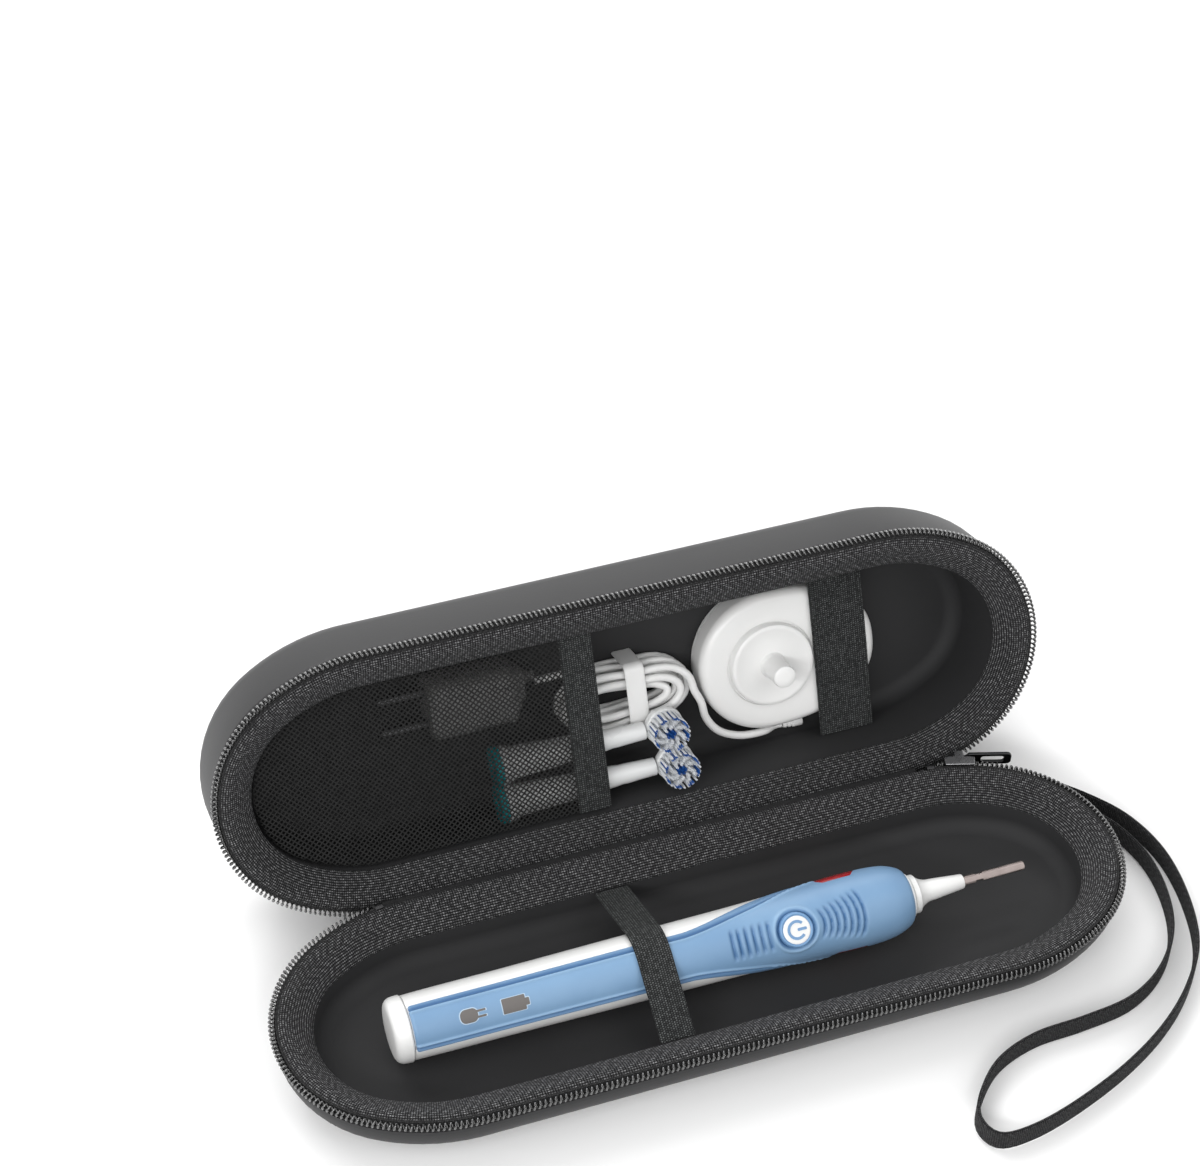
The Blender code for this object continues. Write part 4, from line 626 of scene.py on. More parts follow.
def make_piece(name, mesh, finish, body, slot, replaced=()):
    """Links a mesh as a piece that rides on a body and stands for CAD nodes."""
    mesh.materials.append(finish)
    made = bpy.data.objects.new(name, mesh)
    bpy.context.collection.objects.link(made)
    if body:
        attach(made, body)
    if replaced:
        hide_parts(*replaced)
    return made


@contextmanager
def opened(mesh):
    """A mesh open for edits, written back when they are done."""
    work = bmesh.new()
    work.from_mesh(mesh)
    yield work
    work.to_mesh(mesh)
    work.free()


def finished(mesh, smooth):
    """Faces turned outwards, and edges that are sharper than an angle left sharp."""
    with opened(mesh) as work:
        bmesh.ops.recalc_face_normals(work, faces=work.faces)
    mesh.shade_smooth()
    mesh.set_sharp_from_angle(angle=radians(smooth))
    return mesh


def loft(name, rings, along, across, ring_closed=True, path_closed=False, capped=False, smooth=40):
    """A surface through rings of points, with a map of metres along the path and across the ring."""
    rows = len(rings)
    count = len(rings[0])
    mesh = bpy.data.meshes.new(name)
    faces = []
    places = []
    for r in range(rows if path_closed else rows - 1):
        for k in range(count if ring_closed else count - 1):
            corners = ((r, k), (r, k + 1), (r + 1, k + 1), (r + 1, k))
            faces.append([(a % rows) * count + b % count for a, b in corners])
            places.extend((along[a], across[b]) for a, b in corners)
    if capped:
        for r in (0, rows - 1):
            faces.append([r * count + k for k in range(count)])
            places.extend((along[r], across[k]) for k in range(count))
    mesh.from_pydata([tuple(p) for ring in rings for p in ring], [], faces)
    chart = mesh.uv_layers.new(name="cloth")
    for loop, place in enumerate(places):
        chart.data[loop].uv = place
    return finished(mesh, smooth)


def lofted(name, rings, along, across, finish, body, slot, replaced=(), smooth=40):
    """A closed lofted piece with capped ends."""
    mesh = loft(name, rings, along, across, capped=True, smooth=smooth)
    return make_piece(name, mesh, finish, body, slot, replaced)


def circle(sides):
    """Cosine and sine at even steps round a circle."""
    return [(cos(2 * pi * k / sides), sin(2 * pi * k / sides)) for k in range(sides)]


def turned(name, at, profile, finish, body, slot, replaced=(), sides=40, smooth=40):
    """A turned piece from (along, radius) pairs; `at` places a point from its along, side and up."""
    rings = [[at(a, r * c, r * s) for c, s in circle(sides)] for a, r in profile]
    across = [2 * pi * profile[0][1] * k / sides for k in range(sides + 1)]
    return lofted(name, rings, distances(profile), across, finish, body, slot, replaced, smooth)


def tangents(path):
    """The direction of a path at each of its points."""
    last = len(path) - 1
    return [(path[min(k + 1, last)] - path[max(k - 1, 0)]).normalized() for k in range(last + 1)]


def distances(points, closed=False):
    """Running length along a list of points in two or three dimensions."""
    walked = [0.0]
    path = list(points) + ([points[0]] if closed else [])
    for a, b in zip(path, path[1:]):
        walked.append(walked[-1] + (Vector(b) - Vector(a)).length)
    return walked


def steps(first, last, gap):
    """Evenly spaced values from first to last, no further apart than a gap."""
    count = max(2, int(abs(last - first) / gap) + 1)
    return [first + (last - first) * k / count for k in range(count + 1)]


def arc(centre, radius, first, last, count):
    """An arc in a cross-section: 0 degrees looks outwards, 90 degrees towards the floor."""
    turns = [first + (last - first) * k / count for k in range(count + 1)]
    return [(centre[0] - radius * cos(turn), centre[1] + radius * sin(turn)) for turn in turns]


def hill(distance, width):
    """A smooth bump of height 1."""
    return exp(-(distance / width)**2)


def smooth_share(value, low, high):
    """0 below low, 1 above high, and a smooth change between."""
    t = min(max((value - low) / (high - low), 0.0), 1.0)
    return t * t * (3 - 2 * t)


def ruffle(s, v, size, amount):
    """A small smooth irregular offset that repeats along the rim without a seam."""
    angle = 2 * pi * s / PERIMETER
    reach = PERIMETER / (2 * pi * size)
    return amount * noise.noise(Vector((reach * cos(angle), reach * sin(angle), v / size)))


def along_rim(name, half, section, finish, slot, replaced, first=0.0, last=None, gap=0.0015,
              closed_section=True, wobble=None, smooth=40):
    """A section of (inset, depth) carried along the rim, whole or from one distance to another."""
    whole = last is None
    stations = steps(first, PERIMETER if whole else last, gap)
    if whole:
        stations = stations[:-1]
    across = distances(section, closed=closed_section)
    rings = []
    for s in stations:
        ring = []
        for k, (inset, depth) in enumerate(section):
            lift_in, lift_up = wobble(s, across[k]) if wobble else (0.0, 0.0)
            ring.append(half.on(s, inset + lift_in, depth - lift_up))
        rings.append(ring)
    along = stations + [PERIMETER] if whole else stations
    mesh = loft(name, rings, along, across, closed_section, whole, not whole and closed_section, smooth)
    return make_piece(name, mesh, finish, half.body, slot, replaced)


def round_rim(name, half, section, capped=False):
    """A mesh from one whole turn of the rim for each (inset, depth)."""
    stations = steps(0.0, PERIMETER, 0.004)[:-1]
    rings = [[half.on(s, inset, depth) for s in stations] for inset, depth in section]
    return loft(name, rings, distances(section), stations + [PERIMETER], capped=capped)


# %% [markdown]
# ## Shells
#
# Each shell is moulded foam under synthetic leather: a flat face, one round corner and a soft lip where
# the zip's tape is sewn in. The rings run from the middle of the outer face to the lip and back inside.

# %% Shells
SHELL_EDGE_DEPTH = 0.004
EDGE_ROUND = 0.0013
FLOOR_INSETS = (0.0330, 0.0270, 0.0210)


def shell(half, depth, radius):
    """The outer shell of one half."""
    centre = (radius, depth - radius)
    outside = [(inset, depth) for inset in FLOOR_INSETS if inset > radius]
    outside += arc(centre, radius, pi / 2, 0.0, 18)
    lip_centre = (EDGE_ROUND, SHELL_EDGE_DEPTH + EDGE_ROUND)
    lip = arc(lip_centre, EDGE_ROUND, 0.0, -pi / 2, 5)
    inside = [(WALL, SHELL_EDGE_DEPTH)] + arc(centre, radius - WALL, 0.0, pi / 2, 6)
    inside += [(inset, depth - WALL) for inset in reversed(FLOOR_INSETS) if inset > radius]
    name = half.body + "_shell_surface"
    mesh = round_rim(name, half, outside + lip + inside, capped=True)
    make_piece(name, mesh, LEATHER, half.body, "leather", (half.body + "_shell",))


shell(BASE, BASE_DEPTH, BASE_DEPTH - SHELL_EDGE_DEPTH)
shell(LID, LID_DEPTH, LID_CORNER)

# %% [markdown]
# ## Liners
#
# The liner is thin moulded foam with a broad flange that the binding covers. Its floor is flat and meets
# the walls in a soft round corner. Only the face that shows matters, so it is one sheet.

# %% Liners
TRAY_THICKNESS = 0.0012
FLANGE_EDGE = (0.0022, 0.0015)
FLANGE_KNEE = (0.0046, 0.0021)
FLANGE_LIP = (0.0106, 0.0062)
TRAY_DRAFT = 0.0008
TRAY_CORNER = 0.005
TRAY_INSETS = (0.0200, 0.0245, 0.0290, 0.0325)


def tray_floor(depth):
    """Depth of the liner's upper floor face."""
    return depth - WALL - CLEARANCE - TRAY_THICKNESS


def liner(half, depth):
    """The moulded liner of one half."""
    floor_level = tray_floor(depth)
    lip_inset, lip_depth = FLANGE_LIP
    centre = (lip_inset + TRAY_DRAFT + TRAY_CORNER, floor_level - TRAY_CORNER)
    top = [FLANGE_EDGE, FLANGE_KNEE, (lip_inset - 0.001, lip_depth - 0.0007),
           (lip_inset - 0.0001, lip_depth + 0.0003), (lip_inset + 0.0003, lip_depth + 0.0015)]
    top += arc(centre, TRAY_CORNER, 0.0, pi / 2, 12)
    top += [(inset, floor_level) for inset in TRAY_INSETS]
    name = half.body + "_liner"
    mesh = round_rim(name, half, top)
    last_ring = len(mesh.vertices) * (len(top) - 1) // len(top)
    with opened(mesh) as work:
        inner = [e for e in work.edges if e.is_boundary and all(v.index >= last_ring for v in e.verts)]
        bmesh.ops.contextual_create(work, geom=inner)
        bmesh.ops.recalc_face_normals(work, faces=work.faces)
    make_piece(name, mesh, LINER, half.body, "lining", (half.body + "_tray",))


liner(BASE, BASE_DEPTH)
liner(LID, LID_DEPTH)

# %% [markdown]
# ## Binding
#
# The woven tape folds over the liner's flange from the zip down to the opening. It is sewn by hand-guided
# machine, so it puckers a little, most where the rim bends. A low noise along the rim gives the puckers,
# and the section has a crown, a rolled inner edge and a turned-under lip.

# %% Binding
BINDING_OUTER = [(0.0016, 0.0026), (0.0015, 0.0016), (0.0019, 0.0008), (0.0028, 0.0005)]
BINDING_CROWN = [(0.0042, 0.0007), (0.0056, 0.0014), (0.0070, 0.0023), (0.0084, 0.0033), (0.0098, 0.0043)]
BINDING_LIP = [(0.0107, 0.0051), (0.0112, 0.0058), (0.0112, 0.0065), (0.0107, 0.0068)]
BINDING_UNDER = [(0.0098, 0.0061), (0.0046, 0.0024), (0.0024, 0.0020)]
BINDING_MIDDLE = 0.0068
LAP_PLACE = PERIMETER - STRAIGHT_END + 0.006
LAP_END = LAP_PLACE + 0.009
LAP_HEIGHT = 0.00038


def pucker(s, v):
    """Puckers of the binding, stronger round the ends."""
    point, normal = rim(s)
    bend = 0.45 + 0.55 * min(abs(normal.x) * 1.6, 1.0)
    middle = hill(v - BINDING_MIDDLE, 0.0045)
    wave = (ruffle(s, v, 0.0075, 0.00060) + ruffle(s, v, 0.0030, 0.00026)) * middle * bend
    lap = smooth_share(s, LAP_PLACE, LAP_PLACE + 0.0008) * (1 - smooth_share(s, LAP_END, LAP_END + 0.0014))
    return -0.3 * wave, wave + LAP_HEIGHT * lap * (1.0 - hill(v, 0.0016))


for half in (BASE, LID):
    along_rim(half.body + "_woven_binding", half, BINDING_OUTER + BINDING_CROWN + BINDING_LIP + BINDING_UNDER,
              BINDING, "webbing", (half.body + "_binding",), gap=0.0012, wobble=pucker, smooth=60)

# %% [markdown]
# ## Zip
#
# The zip is a nylon coil: one plastic wire wound into flattened loops and sewn along the tape's edge. A
# helix makes it, with the wire thicker where each loop's head will lock. It stops short of the hinge.

# %% Zip
SPINE_LENGTH = 2 * (STRAIGHT_END + 0.006)
ZIP_GAP = 0.0036
ZIP_FIRST = SPINE_LENGTH / 2 + ZIP_GAP - STRAIGHT_END
ZIP_LAST = PERIMETER - 2 * STRAIGHT_END - ZIP_FIRST
COIL_PITCH = 0.00145
COIL_CENTRE = (0.00005, 0.00175)
COIL_HALF_WIDTH = 0.00072
COIL_HALF_HEIGHT = 0.00105
COIL_WIRE = 0.00028
COIL_HEAD = 0.6
COIL_STEPS = 12
WIRE_SIDES = 6


def coil(half):
    """The coil of teeth along one rim."""
    turns = int((ZIP_LAST - ZIP_FIRST) / COIL_PITCH)
    centres = []
    heads = []
    for k in range(turns * COIL_STEPS + 1):
        turn = 2 * pi * k / COIL_STEPS
        s = ZIP_FIRST + k * COIL_PITCH / COIL_STEPS
        inset = COIL_CENTRE[0] - COIL_HALF_WIDTH * cos(turn)
        depth = COIL_CENTRE[1] + COIL_HALF_HEIGHT * sin(turn)
        centres.append(half.on(s, inset, depth))
        heads.append(1.0 + COIL_HEAD * max(cos(turn), 0.0)**4)
    rings = []
    for here, ahead, head in zip(centres, tangents(centres), heads):
        side = ahead.orthogonal().normalized()
        other = ahead.cross(side)
        rings.append([here + (side * c + other * s) * COIL_WIRE * head for c, s in circle(WIRE_SIDES)])
    lofted(half.body + "_zip_coil", rings, distances(centres), [0.0] * (WIRE_SIDES + 1), NYLON, half.body,
           "zip_teeth", (half.body + "_zip_teeth",), smooth=80)


TAPE_SECTION = [
    (0.0010, 0.0009), (0.0020, 0.0009), (0.0020, 0.0030), (0.0026, 0.0036), (0.0026, 0.0039),
    (0.0006, 0.0041), (0.0003, 0.0039), (0.0003, 0.0034), (0.0010, 0.0030),
]
for half in (BASE, LID):
    coil(half)
    along_rim(half.body + "_zip_tape_cloth", half, TAPE_SECTION, TAPE, "webbing",
              (half.body + "_zip_tape",), first=ZIP_FIRST, last=ZIP_LAST)

# %% [markdown]
# ## Finishes of the toothbrush
#
# Hard white plastic, softer blue rubber moulded over it, and a tinted lens. Moulded plastic is never
# perfectly even, so each takes a small change of tone and roughness from the grain group.

# %% Toothbrush finishes
WHITE = grained_finish("white_plastic", (0.78, 0.78, 0.77), (0.88, 0.88, 0.87), 0.26, 0.36, 1500.0,
                       0.000006, patches=40.0, coat=0.15)
BUTTON_BLUE = grained_finish("button_bezel", (0.155, 0.300, 0.520), (0.190, 0.350, 0.570), 0.34, 0.46,
                             1800.0, 0.00001, patches=60.0)
RED_LENS = grained_finish("pressure_lens", (0.34, 0.006, 0.010), (0.48, 0.012, 0.018), 0.12, 0.2,
                          900.0, 0.000005, patches=120.0, coat=0.6)
SHAFT_METAL = metal_finish("oiled_steel", (0.21, 0.175, 0.165), (0.36, 0.31, 0.295), 0.28, 0.44)
ICON_GREY = grained_finish("printed_icon", (0.115, 0.105, 0.100), (0.150, 0.138, 0.130), 0.45, 0.55,
                           1200.0, 0.000004)
ICON_EDGE = grained_finish("icon_outline", (0.42, 0.55, 0.68), (0.50, 0.62, 0.74), 0.45, 0.55,
                           1200.0, 0.000004)


def grip_finish():
    """Blue rubber with painted shade in its grooves and outside the rails and painted highlight on its
    ridges.
    """
    made, tree, shader = new_material("blue_soft_grip")
    grain = use_group(tree, GRAIN, Place=body_place(tree), Pebbles=2600.0, Patches=45.0)
    # The shade attribute holds painted shade for the grooves and the band outside the rails, and painted
    # highlight for the ridges.
    relief = tree.nodes.new("ShaderNodeAttribute")
    relief.attribute_name = "shade"
    uneven = calc(tree, "MULTIPLY_ADD", grain["Uneven"], 0.5, 0.3)
    shade = calc(tree, "ADD", uneven, relief.outputs["Fac"], clamp=True)
    colour = tone(tree, (0.060, 0.160, 0.330), (0.290, 0.460, 0.650), shade)
    tree.links.new(colour, shader.inputs["Base Color"])
    tree.links.new(ranged(tree, grain["Uneven"], 0.40, 0.54), shader.inputs["Roughness"])
    bump(tree, shader, grain["Height"], 0.5, 0.00002)
    return made


GRIP_BLUE = grip_finish()
print("toothbrush finishes made")

# %% [markdown]
# ## Toothbrush body
#
# The handle is a body of revolution with a bulge near the button. Its radius is given at a few places and
# read in between by a smooth cubic, so the silhouette has no corners. Angles round the handle are
# measured from the button, which faces up and towards the reader.

# %% Toothbrush body
BRUSH_TURN = Matrix.Translation((0.0, -0.0025, 0.0158)) @ Matrix.Rotation(radians(44), 4, "X")
BRUSH_BODY = [
    (-0.0940, 0.0084), (-0.0925, 0.0093), (-0.0600, 0.0096), (-0.0200, 0.0100), (0.0080, 0.0102),
    (0.0300, 0.0107), (0.0440, 0.0110), (0.0530, 0.0104), (0.0580, 0.0087), (0.0605, 0.0066),
]
GRIP_START = -0.0885
GRIP_END = 0.0596
GRIP_NARROW = radians(45)
GRIP_WIDE = radians(92)
GRIP_WIDENS_FROM = -0.009
GRIP_WIDENS = 0.034
GRIP_THICKNESS = 0.0007
LENS_WINDOW = (0.0352, 0.0432)
LENS_WINDOW_EASE = 0.003
LENS_EDGE = radians(72)
SHELL_BELOW_GRIP = 0.0004
BUTTON_PLACE = 0.0225
BUTTON_RADIUS = 0.0050
SHELL_WELL = 0.0034
SHELL_WELL_RADIUS = 0.0074


def brush_radius(x):
    """Radius of the handle, smooth between the given places."""
    last = len(BRUSH_BODY) - 1
    k = next((k for k in range(last) if x <= BRUSH_BODY[k + 1][0]), last - 1)
    (x0, r0), (x1, r1) = BRUSH_BODY[k], BRUSH_BODY[k + 1]
    before = BRUSH_BODY[max(k - 1, 0)]
    after = BRUSH_BODY[min(k + 2, last)]
    slope0 = (r1 - before[1]) / (x1 - before[0])
    slope1 = (after[1] - r0) / (after[0] - x0)
    run = x1 - x0
    t = min(max((x - x0) / run, 0.0), 1.0)
    return ((2 * t**3 - 3 * t**2 + 1) * r0 + (t**3 - 2 * t**2 + t) * run * slope0
            + (3 * t**2 - 2 * t**3) * r1 + (t**3 - t**2) * run * slope1)


def on_brush(x, turn, radius):
    """A point round the handle's axis."""
    return BRUSH_TURN @ Vector((x, radius * sin(turn), radius * cos(turn)))


def turned_on_brush(name, profile, finish, body, slot, replaced, sides=96, shaped=None):
    """A body of revolution on the handle's axis; `shaped` changes a radius by its place and angle."""
    turns = [2 * pi * k / sides for k in range(sides)]
    rings = [[on_brush(x, turn, shaped(x, turn, radius) if shaped else radius) for turn in turns]
             for x, radius in profile]
    across = [2 * pi * k / sides * profile[0][1] for k in range(sides + 1)]
    return lofted(name, rings, distances(profile), across, finish, body, slot, replaced, smooth=35)


def grip_full_angle(x):
    """The grip covers the front and wraps round at the bulge."""
    share = min(max((x - GRIP_WIDENS_FROM) / GRIP_WIDENS, 0.0), 1.0)
    share = 0.35 * share + 0.65 * share * share * (3 - 2 * share)
    return GRIP_NARROW + (GRIP_WIDE - GRIP_NARROW) * share


def grip_half_angle(x):
    """The full angle, less at the window for the red lens."""
    opening = smooth_share(x, LENS_WINDOW[0] - LENS_WINDOW_EASE, LENS_WINDOW[0])
    closing = smooth_share(x, LENS_WINDOW[1], LENS_WINDOW[1] + LENS_WINDOW_EASE)
    return grip_full_angle(x) - opening * (1 - closing) * (GRIP_WIDE - LENS_EDGE)


def under_grip(x, turn, radius):
    """The white shell's radius, sunk where the grip covers it and deeper under the button."""
    turn = min(turn, 2 * pi - turn)
    if not GRIP_START < x < GRIP_END:
        return radius
    if hypot(x - BUTTON_PLACE, turn * brush_radius(x)) < SHELL_WELL_RADIUS:
        return radius - SHELL_WELL
    edge = grip_half_angle(x)
    return radius - 0.0010 * (1.0 - smooth_share(turn, edge - 0.10, edge - 0.04))


FOOT_CAP_END = -0.0889
handle_profile = [(FOOT_CAP_END, 0.0070)]
handle_profile += [(x, brush_radius(x) - SHELL_BELOW_GRIP) for x in steps(FOOT_CAP_END, 0.0602, 0.0010)]
handle_profile += [(0.0605, 0.0058), (0.0605, 0.0020)]
turned_on_brush("handle_shell_white", handle_profile, WHITE, "toothbrush", "white_plastic",
                ("handle_shell",), sides=120, shaped=under_grip)

cap_radius = brush_radius(FOOT_CAP_END)
foot_profile = [
    (-0.0940, 0.0010), (-0.0940, 0.0068), (-0.09385, 0.0076), (-0.0935, 0.0083), (-0.0930, 0.0088),
    (-0.0922, 0.0092), (-0.0910, cap_radius - 0.00005), (FOOT_CAP_END - 0.0006, cap_radius),
    (FOOT_CAP_END - 0.0002, cap_radius - 0.0003),
    (FOOT_CAP_END - 0.0002, cap_radius - 0.0008), (FOOT_CAP_END - 0.0002, 0.0060),
]
turned_on_brush("foot_cap_white", foot_profile, WHITE, "toothbrush", "white_plastic", ("foot_cap",))

# %% [markdown]
# ## Soft grip
#
# The blue rubber carries all the relief: two rails that sweep outwards past the button, curved finger
# ribs on both sides of it, and the ring that protects it. All of this is real shape. A grid finer than
# the ribs is wrapped round the handle, and each point is raised or sunk by a sum of small hills.

# %% Soft grip
RAIL_SHARE = 0.69
RAIL_SWEPT_SHARE = 0.93
RIBS_LEFT = [0.0079, 0.0101, 0.0123, 0.0145, 0.0167, 0.0187]
RIBS_RIGHT = [0.0086, 0.0106, 0.0126, 0.0146, 0.0166, 0.0186, 0.0205]
RIB_LEFT_BEND = 0.022
RIB_DEPTH = 0.00085
RIB_WIDTH = 0.00048
BUTTON_WELL = 0.0012
# Painted shading on the grip: grooves and the band outside the rails are painted darker, ridges paler.
PAINTED_SHADING_PER_METRE = 650.0
OUTSIDE_PAINTED_SHADE = 0.22
GRIP_POINTS = 84
GRIP_END_DROP = 0.0004


def grip_relief(x, turn):
    """Height of the relief at a place on the grip, in metres, and how far the place is outside the rail."""
    radius = brush_radius(x)
    run = x - BUTTON_PLACE
    side = abs(turn) * radius
    swept = RAIL_SHARE + (RAIL_SWEPT_SHARE - RAIL_SHARE) * smooth_share(x, 0.012, 0.036)
    rail = swept * grip_full_angle(x) * radius
    fade = 1.0 - smooth_share(x, 0.030, 0.040)
    outside = fade * smooth_share(side, rail + 0.0002, rail + 0.0008)
    height = (-0.00070 * hill(side - rail - 0.0008, 0.00055) + 0.00048 * hill(side - rail, 0.00040)) * fade
    reach = hypot(run, side)
    height -= 0.00065 * hill(reach - 0.0055, 0.00042)
    height += 0.00042 * hill(reach - 0.0064, 0.00055)
    height -= BUTTON_WELL * (1.0 - smooth_share(reach, BUTTON_RADIUS, BUTTON_RADIUS + 0.0004))
    if run > 0.0:
        for rib in RIBS_RIGHT:
            half = 0.0038 + 0.26 * (rib - RIBS_RIGHT[0])
            window = 1.0 - smooth_share(side, half - 0.0012, half + 0.0012)
            height -= RIB_DEPTH * hill(reach - rib, RIB_WIDTH) * window
    else:
        bend = hypot(run - RIB_LEFT_BEND, side) - RIB_LEFT_BEND
        window = 1.0 - smooth_share(side, 0.0030, 0.0052)
        for rib in RIBS_LEFT:
            height -= RIB_DEPTH * hill(bend - rib, RIB_WIDTH) * window
    return height, outside


def soft_grip():
    """The grip with its relief, edges and underside, and painted shade or highlight for each point of its
    top.
    """
    painted_shading = []
    stations = [GRIP_START, GRIP_START + 0.00012] + steps(GRIP_START + 0.0004, GRIP_END - 0.0005, 0.00036)
    stations += [GRIP_END - 0.0001]
    rings = []
    for x in stations:
        half = grip_half_angle(x)
        radius = brush_radius(x)
        ends = GRIP_END_DROP * (1.0 - smooth_share(x, GRIP_START, GRIP_START + 0.0006)
                                + smooth_share(x, GRIP_END - 0.0006, GRIP_END))
        ring = [on_brush(x, -half, radius - GRIP_THICKNESS), on_brush(x, -half, radius - 0.00036 - ends)]
        painted_shading += [0.0, 0.0]
        for k in range(GRIP_POINTS + 1):
            turn = (half - 0.00030 / radius) * (2 * k / GRIP_POINTS - 1)
            edge = 0.0 if 0 < k < GRIP_POINTS else 0.00012
            height, outside = grip_relief(x, turn)
            ring.append(on_brush(x, turn, radius + height - ends - edge))
            # Painted shade in the grooves and outside the rails, painted highlight on the ridges.
            painted_shading.append(PAINTED_SHADING_PER_METRE * max(height, -RIB_DEPTH) - OUTSIDE_PAINTED_SHADE * outside)
        painted_shading += [0.0] * 9
        ring += [on_brush(x, half, radius - 0.00036 - ends), on_brush(x, half, radius - GRIP_THICKNESS)]
        for k in range(1, 8):
            ring.append(on_brush(x, half * (1 - k / 4), radius - GRIP_THICKNESS - 0.0008))
        rings.append(ring)
    across = [(2 * (k - 2) / GRIP_POINTS - 1) * GRIP_NARROW * 0.0098 for k in range(len(rings[0]) + 1)]
    mesh = loft("soft_grip", rings, stations, across, capped=True, smooth=75)
    mesh.attributes.new("shade", "FLOAT", "POINT").data.foreach_set("value", painted_shading)
    return make_piece("soft_grip", mesh, GRIP_BLUE, "toothbrush", "blue_grip", ("handle_grip",))


grip = soft_grip()
print("grip faces:", len(grip.data.polygons))

# %% [markdown]
# ## Button, icons and lens
#
# The button is a white disc in a blue bezel, with the usual power sign sunk in it. The icons by the foot
# are printed windows for the battery and charging lights. Each print is a thin patch that follows the
# handle's curve, cut from a flat outline given in millimetres.

# %% Button, icons and lens
PRINT_THICKNESS = 0.00004
ICON_MARGIN = 0.0003


def print_on_brush(name, outline, place, lift, finish):
    """A flat outline in metres, wrapped on the grip round a place and raised a little."""
    mesh = bpy.data.meshes.new(name)
    with opened(mesh) as work:
        work.faces.new([work.verts.new((x, y, 0.0)) for x, y in outline])
        bmesh.ops.triangulate(work, faces=work.faces)
        bmesh.ops.subdivide_edges(work, edges=work.edges, cuts=7, use_grid_fill=True)
        for vert in work.verts:
            x, y = vert.co.x + place, vert.co.y
            radius = brush_radius(x)
            vert.co = on_brush(x, y / radius, radius + lift)
    thicken(make_piece(name, mesh, finish, "toothbrush", "blue_grip"), PRINT_THICKNESS)


def thicken(piece, thickness):
    """A sheet given thickness on both sides."""
    solid = piece.modifiers.new("thickness", "SOLIDIFY")
    solid.thickness = thickness
    solid.offset = 0.0
    return piece


def rounded_box(x0, x1, y0, y1, radius, count=6):
    """A rectangle with round corners as a list of points."""
    points = []
    for cx, cy, first in ((x1 - radius, y1 - radius, 0.0), (x0 + radius, y1 - radius, pi / 2),
                          (x0 + radius, y0 + radius, pi), (x1 - radius, y0 + radius, 3 * pi / 2)):
        for k in range(count + 1):
            turn = first + pi / 2 * k / count
            points.append((cx + radius * cos(turn), cy + radius * sin(turn)))
    return points


def grown(outline, amount):
    """An outline pushed outwards from its middle by a margin."""
    cx = sum(x for x, y in outline) / len(outline)
    cy = sum(y for x, y in outline) / len(outline)
    result = []
    for x, y in outline:
        reach = hypot(x - cx, y - cy)
        result.append((x + (x - cx) / reach * amount, y + (y - cy) / reach * amount))
    return result


BATTERY_PLACE = -0.0600
BRUSH_ICON_PLACE = -0.0722
battery_body = rounded_box(-0.0035, 0.0031, -0.0021, 0.0021, 0.0003)
battery_tip = rounded_box(0.0029, 0.0042, -0.0010, 0.0010, 0.0003)
charge_body = rounded_box(-0.0033, 0.0017, -0.0019, 0.0019, 0.0016)
charge_pin_upper = rounded_box(0.0014, 0.0040, 0.0005, 0.0011, 0.0002)
charge_pin_lower = rounded_box(0.0014, 0.0040, -0.0011, -0.0005, 0.0002)
for number, (outline, place) in enumerate((
    (battery_body, BATTERY_PLACE), (battery_tip, BATTERY_PLACE), (charge_body, BRUSH_ICON_PLACE),
    (charge_pin_upper, BRUSH_ICON_PLACE), (charge_pin_lower, BRUSH_ICON_PLACE),
)):
    print_on_brush("icon_outline_%d" % number, grown(outline, ICON_MARGIN), place, 0.00004, ICON_EDGE)
    print_on_brush("icon_%d" % number, outline, place, 0.00010, ICON_GREY)

BUTTON_FRAME = BRUSH_TURN @ Matrix.Translation((BUTTON_PLACE, 0.0, brush_radius(BUTTON_PLACE)))
BUTTON_DISC = 0.0041
BUTTON_STANDS = 0.0004
BUTTON_FOOT = -0.0030


def on_button(z, x, y):
    """A point about the button's own axis."""
    return BUTTON_FRAME @ Vector((x, y, z))


turned("button_bezel_ring", on_button, [
    (BUTTON_FOOT, 0.0012), (BUTTON_FOOT, BUTTON_RADIUS - 0.0001), (-0.0004, BUTTON_RADIUS),
    (0.0001, BUTTON_RADIUS - 0.0001), (0.00034, BUTTON_RADIUS - 0.0003),
    (BUTTON_STANDS, BUTTON_RADIUS - 0.0005), (0.00030, BUTTON_DISC + 0.0002), (0.00012, BUTTON_DISC),
    (0.00010, 0.0012),
], BUTTON_BLUE, "button", "button", ("power_button",), sides=72)
turned("button_face", on_button, [
    (-0.0004, 0.0008), (-0.0004, BUTTON_DISC - 0.0001), (0.00024, BUTTON_DISC - 0.0001),
    (0.00036, BUTTON_DISC - 0.0003), (BUTTON_STANDS, BUTTON_DISC - 0.0006), (0.00030, 0.0022),
    (0.00026, 0.0008),
], WHITE, "button", "button", sides=72)


def power_sign():
    """The open ring and bar of the power sign, turned a quarter so that its bar points along the handle."""
    radius, half, top, count = 0.0024, 0.00040, 0.00046, 49
    rings = []
    for k in range(count):
        turn = radians(42) + radians(276) * k / (count - 1)
        rings.append([on_button(z, reach * cos(turn), reach * sin(turn)) for reach, z in (
            (radius - half, 0.0), (radius + half, 0.0), (radius + half, top), (radius - half, top))])
    lofted("power_sign_ring", rings, [0.0] * count, [0.0] * 5, BUTTON_BLUE, "button", "button")
    bar = rounded_box(0.0002, 0.0029, -half, half, 0.0003)
    rings = [[on_button(z, x, y) for x, y in bar] for z in (0.0, top)]
    lofted("power_sign_bar", rings, [0.0, top], [0.0] * (len(bar) + 1), BUTTON_BLUE, "button", "button")


power_sign()

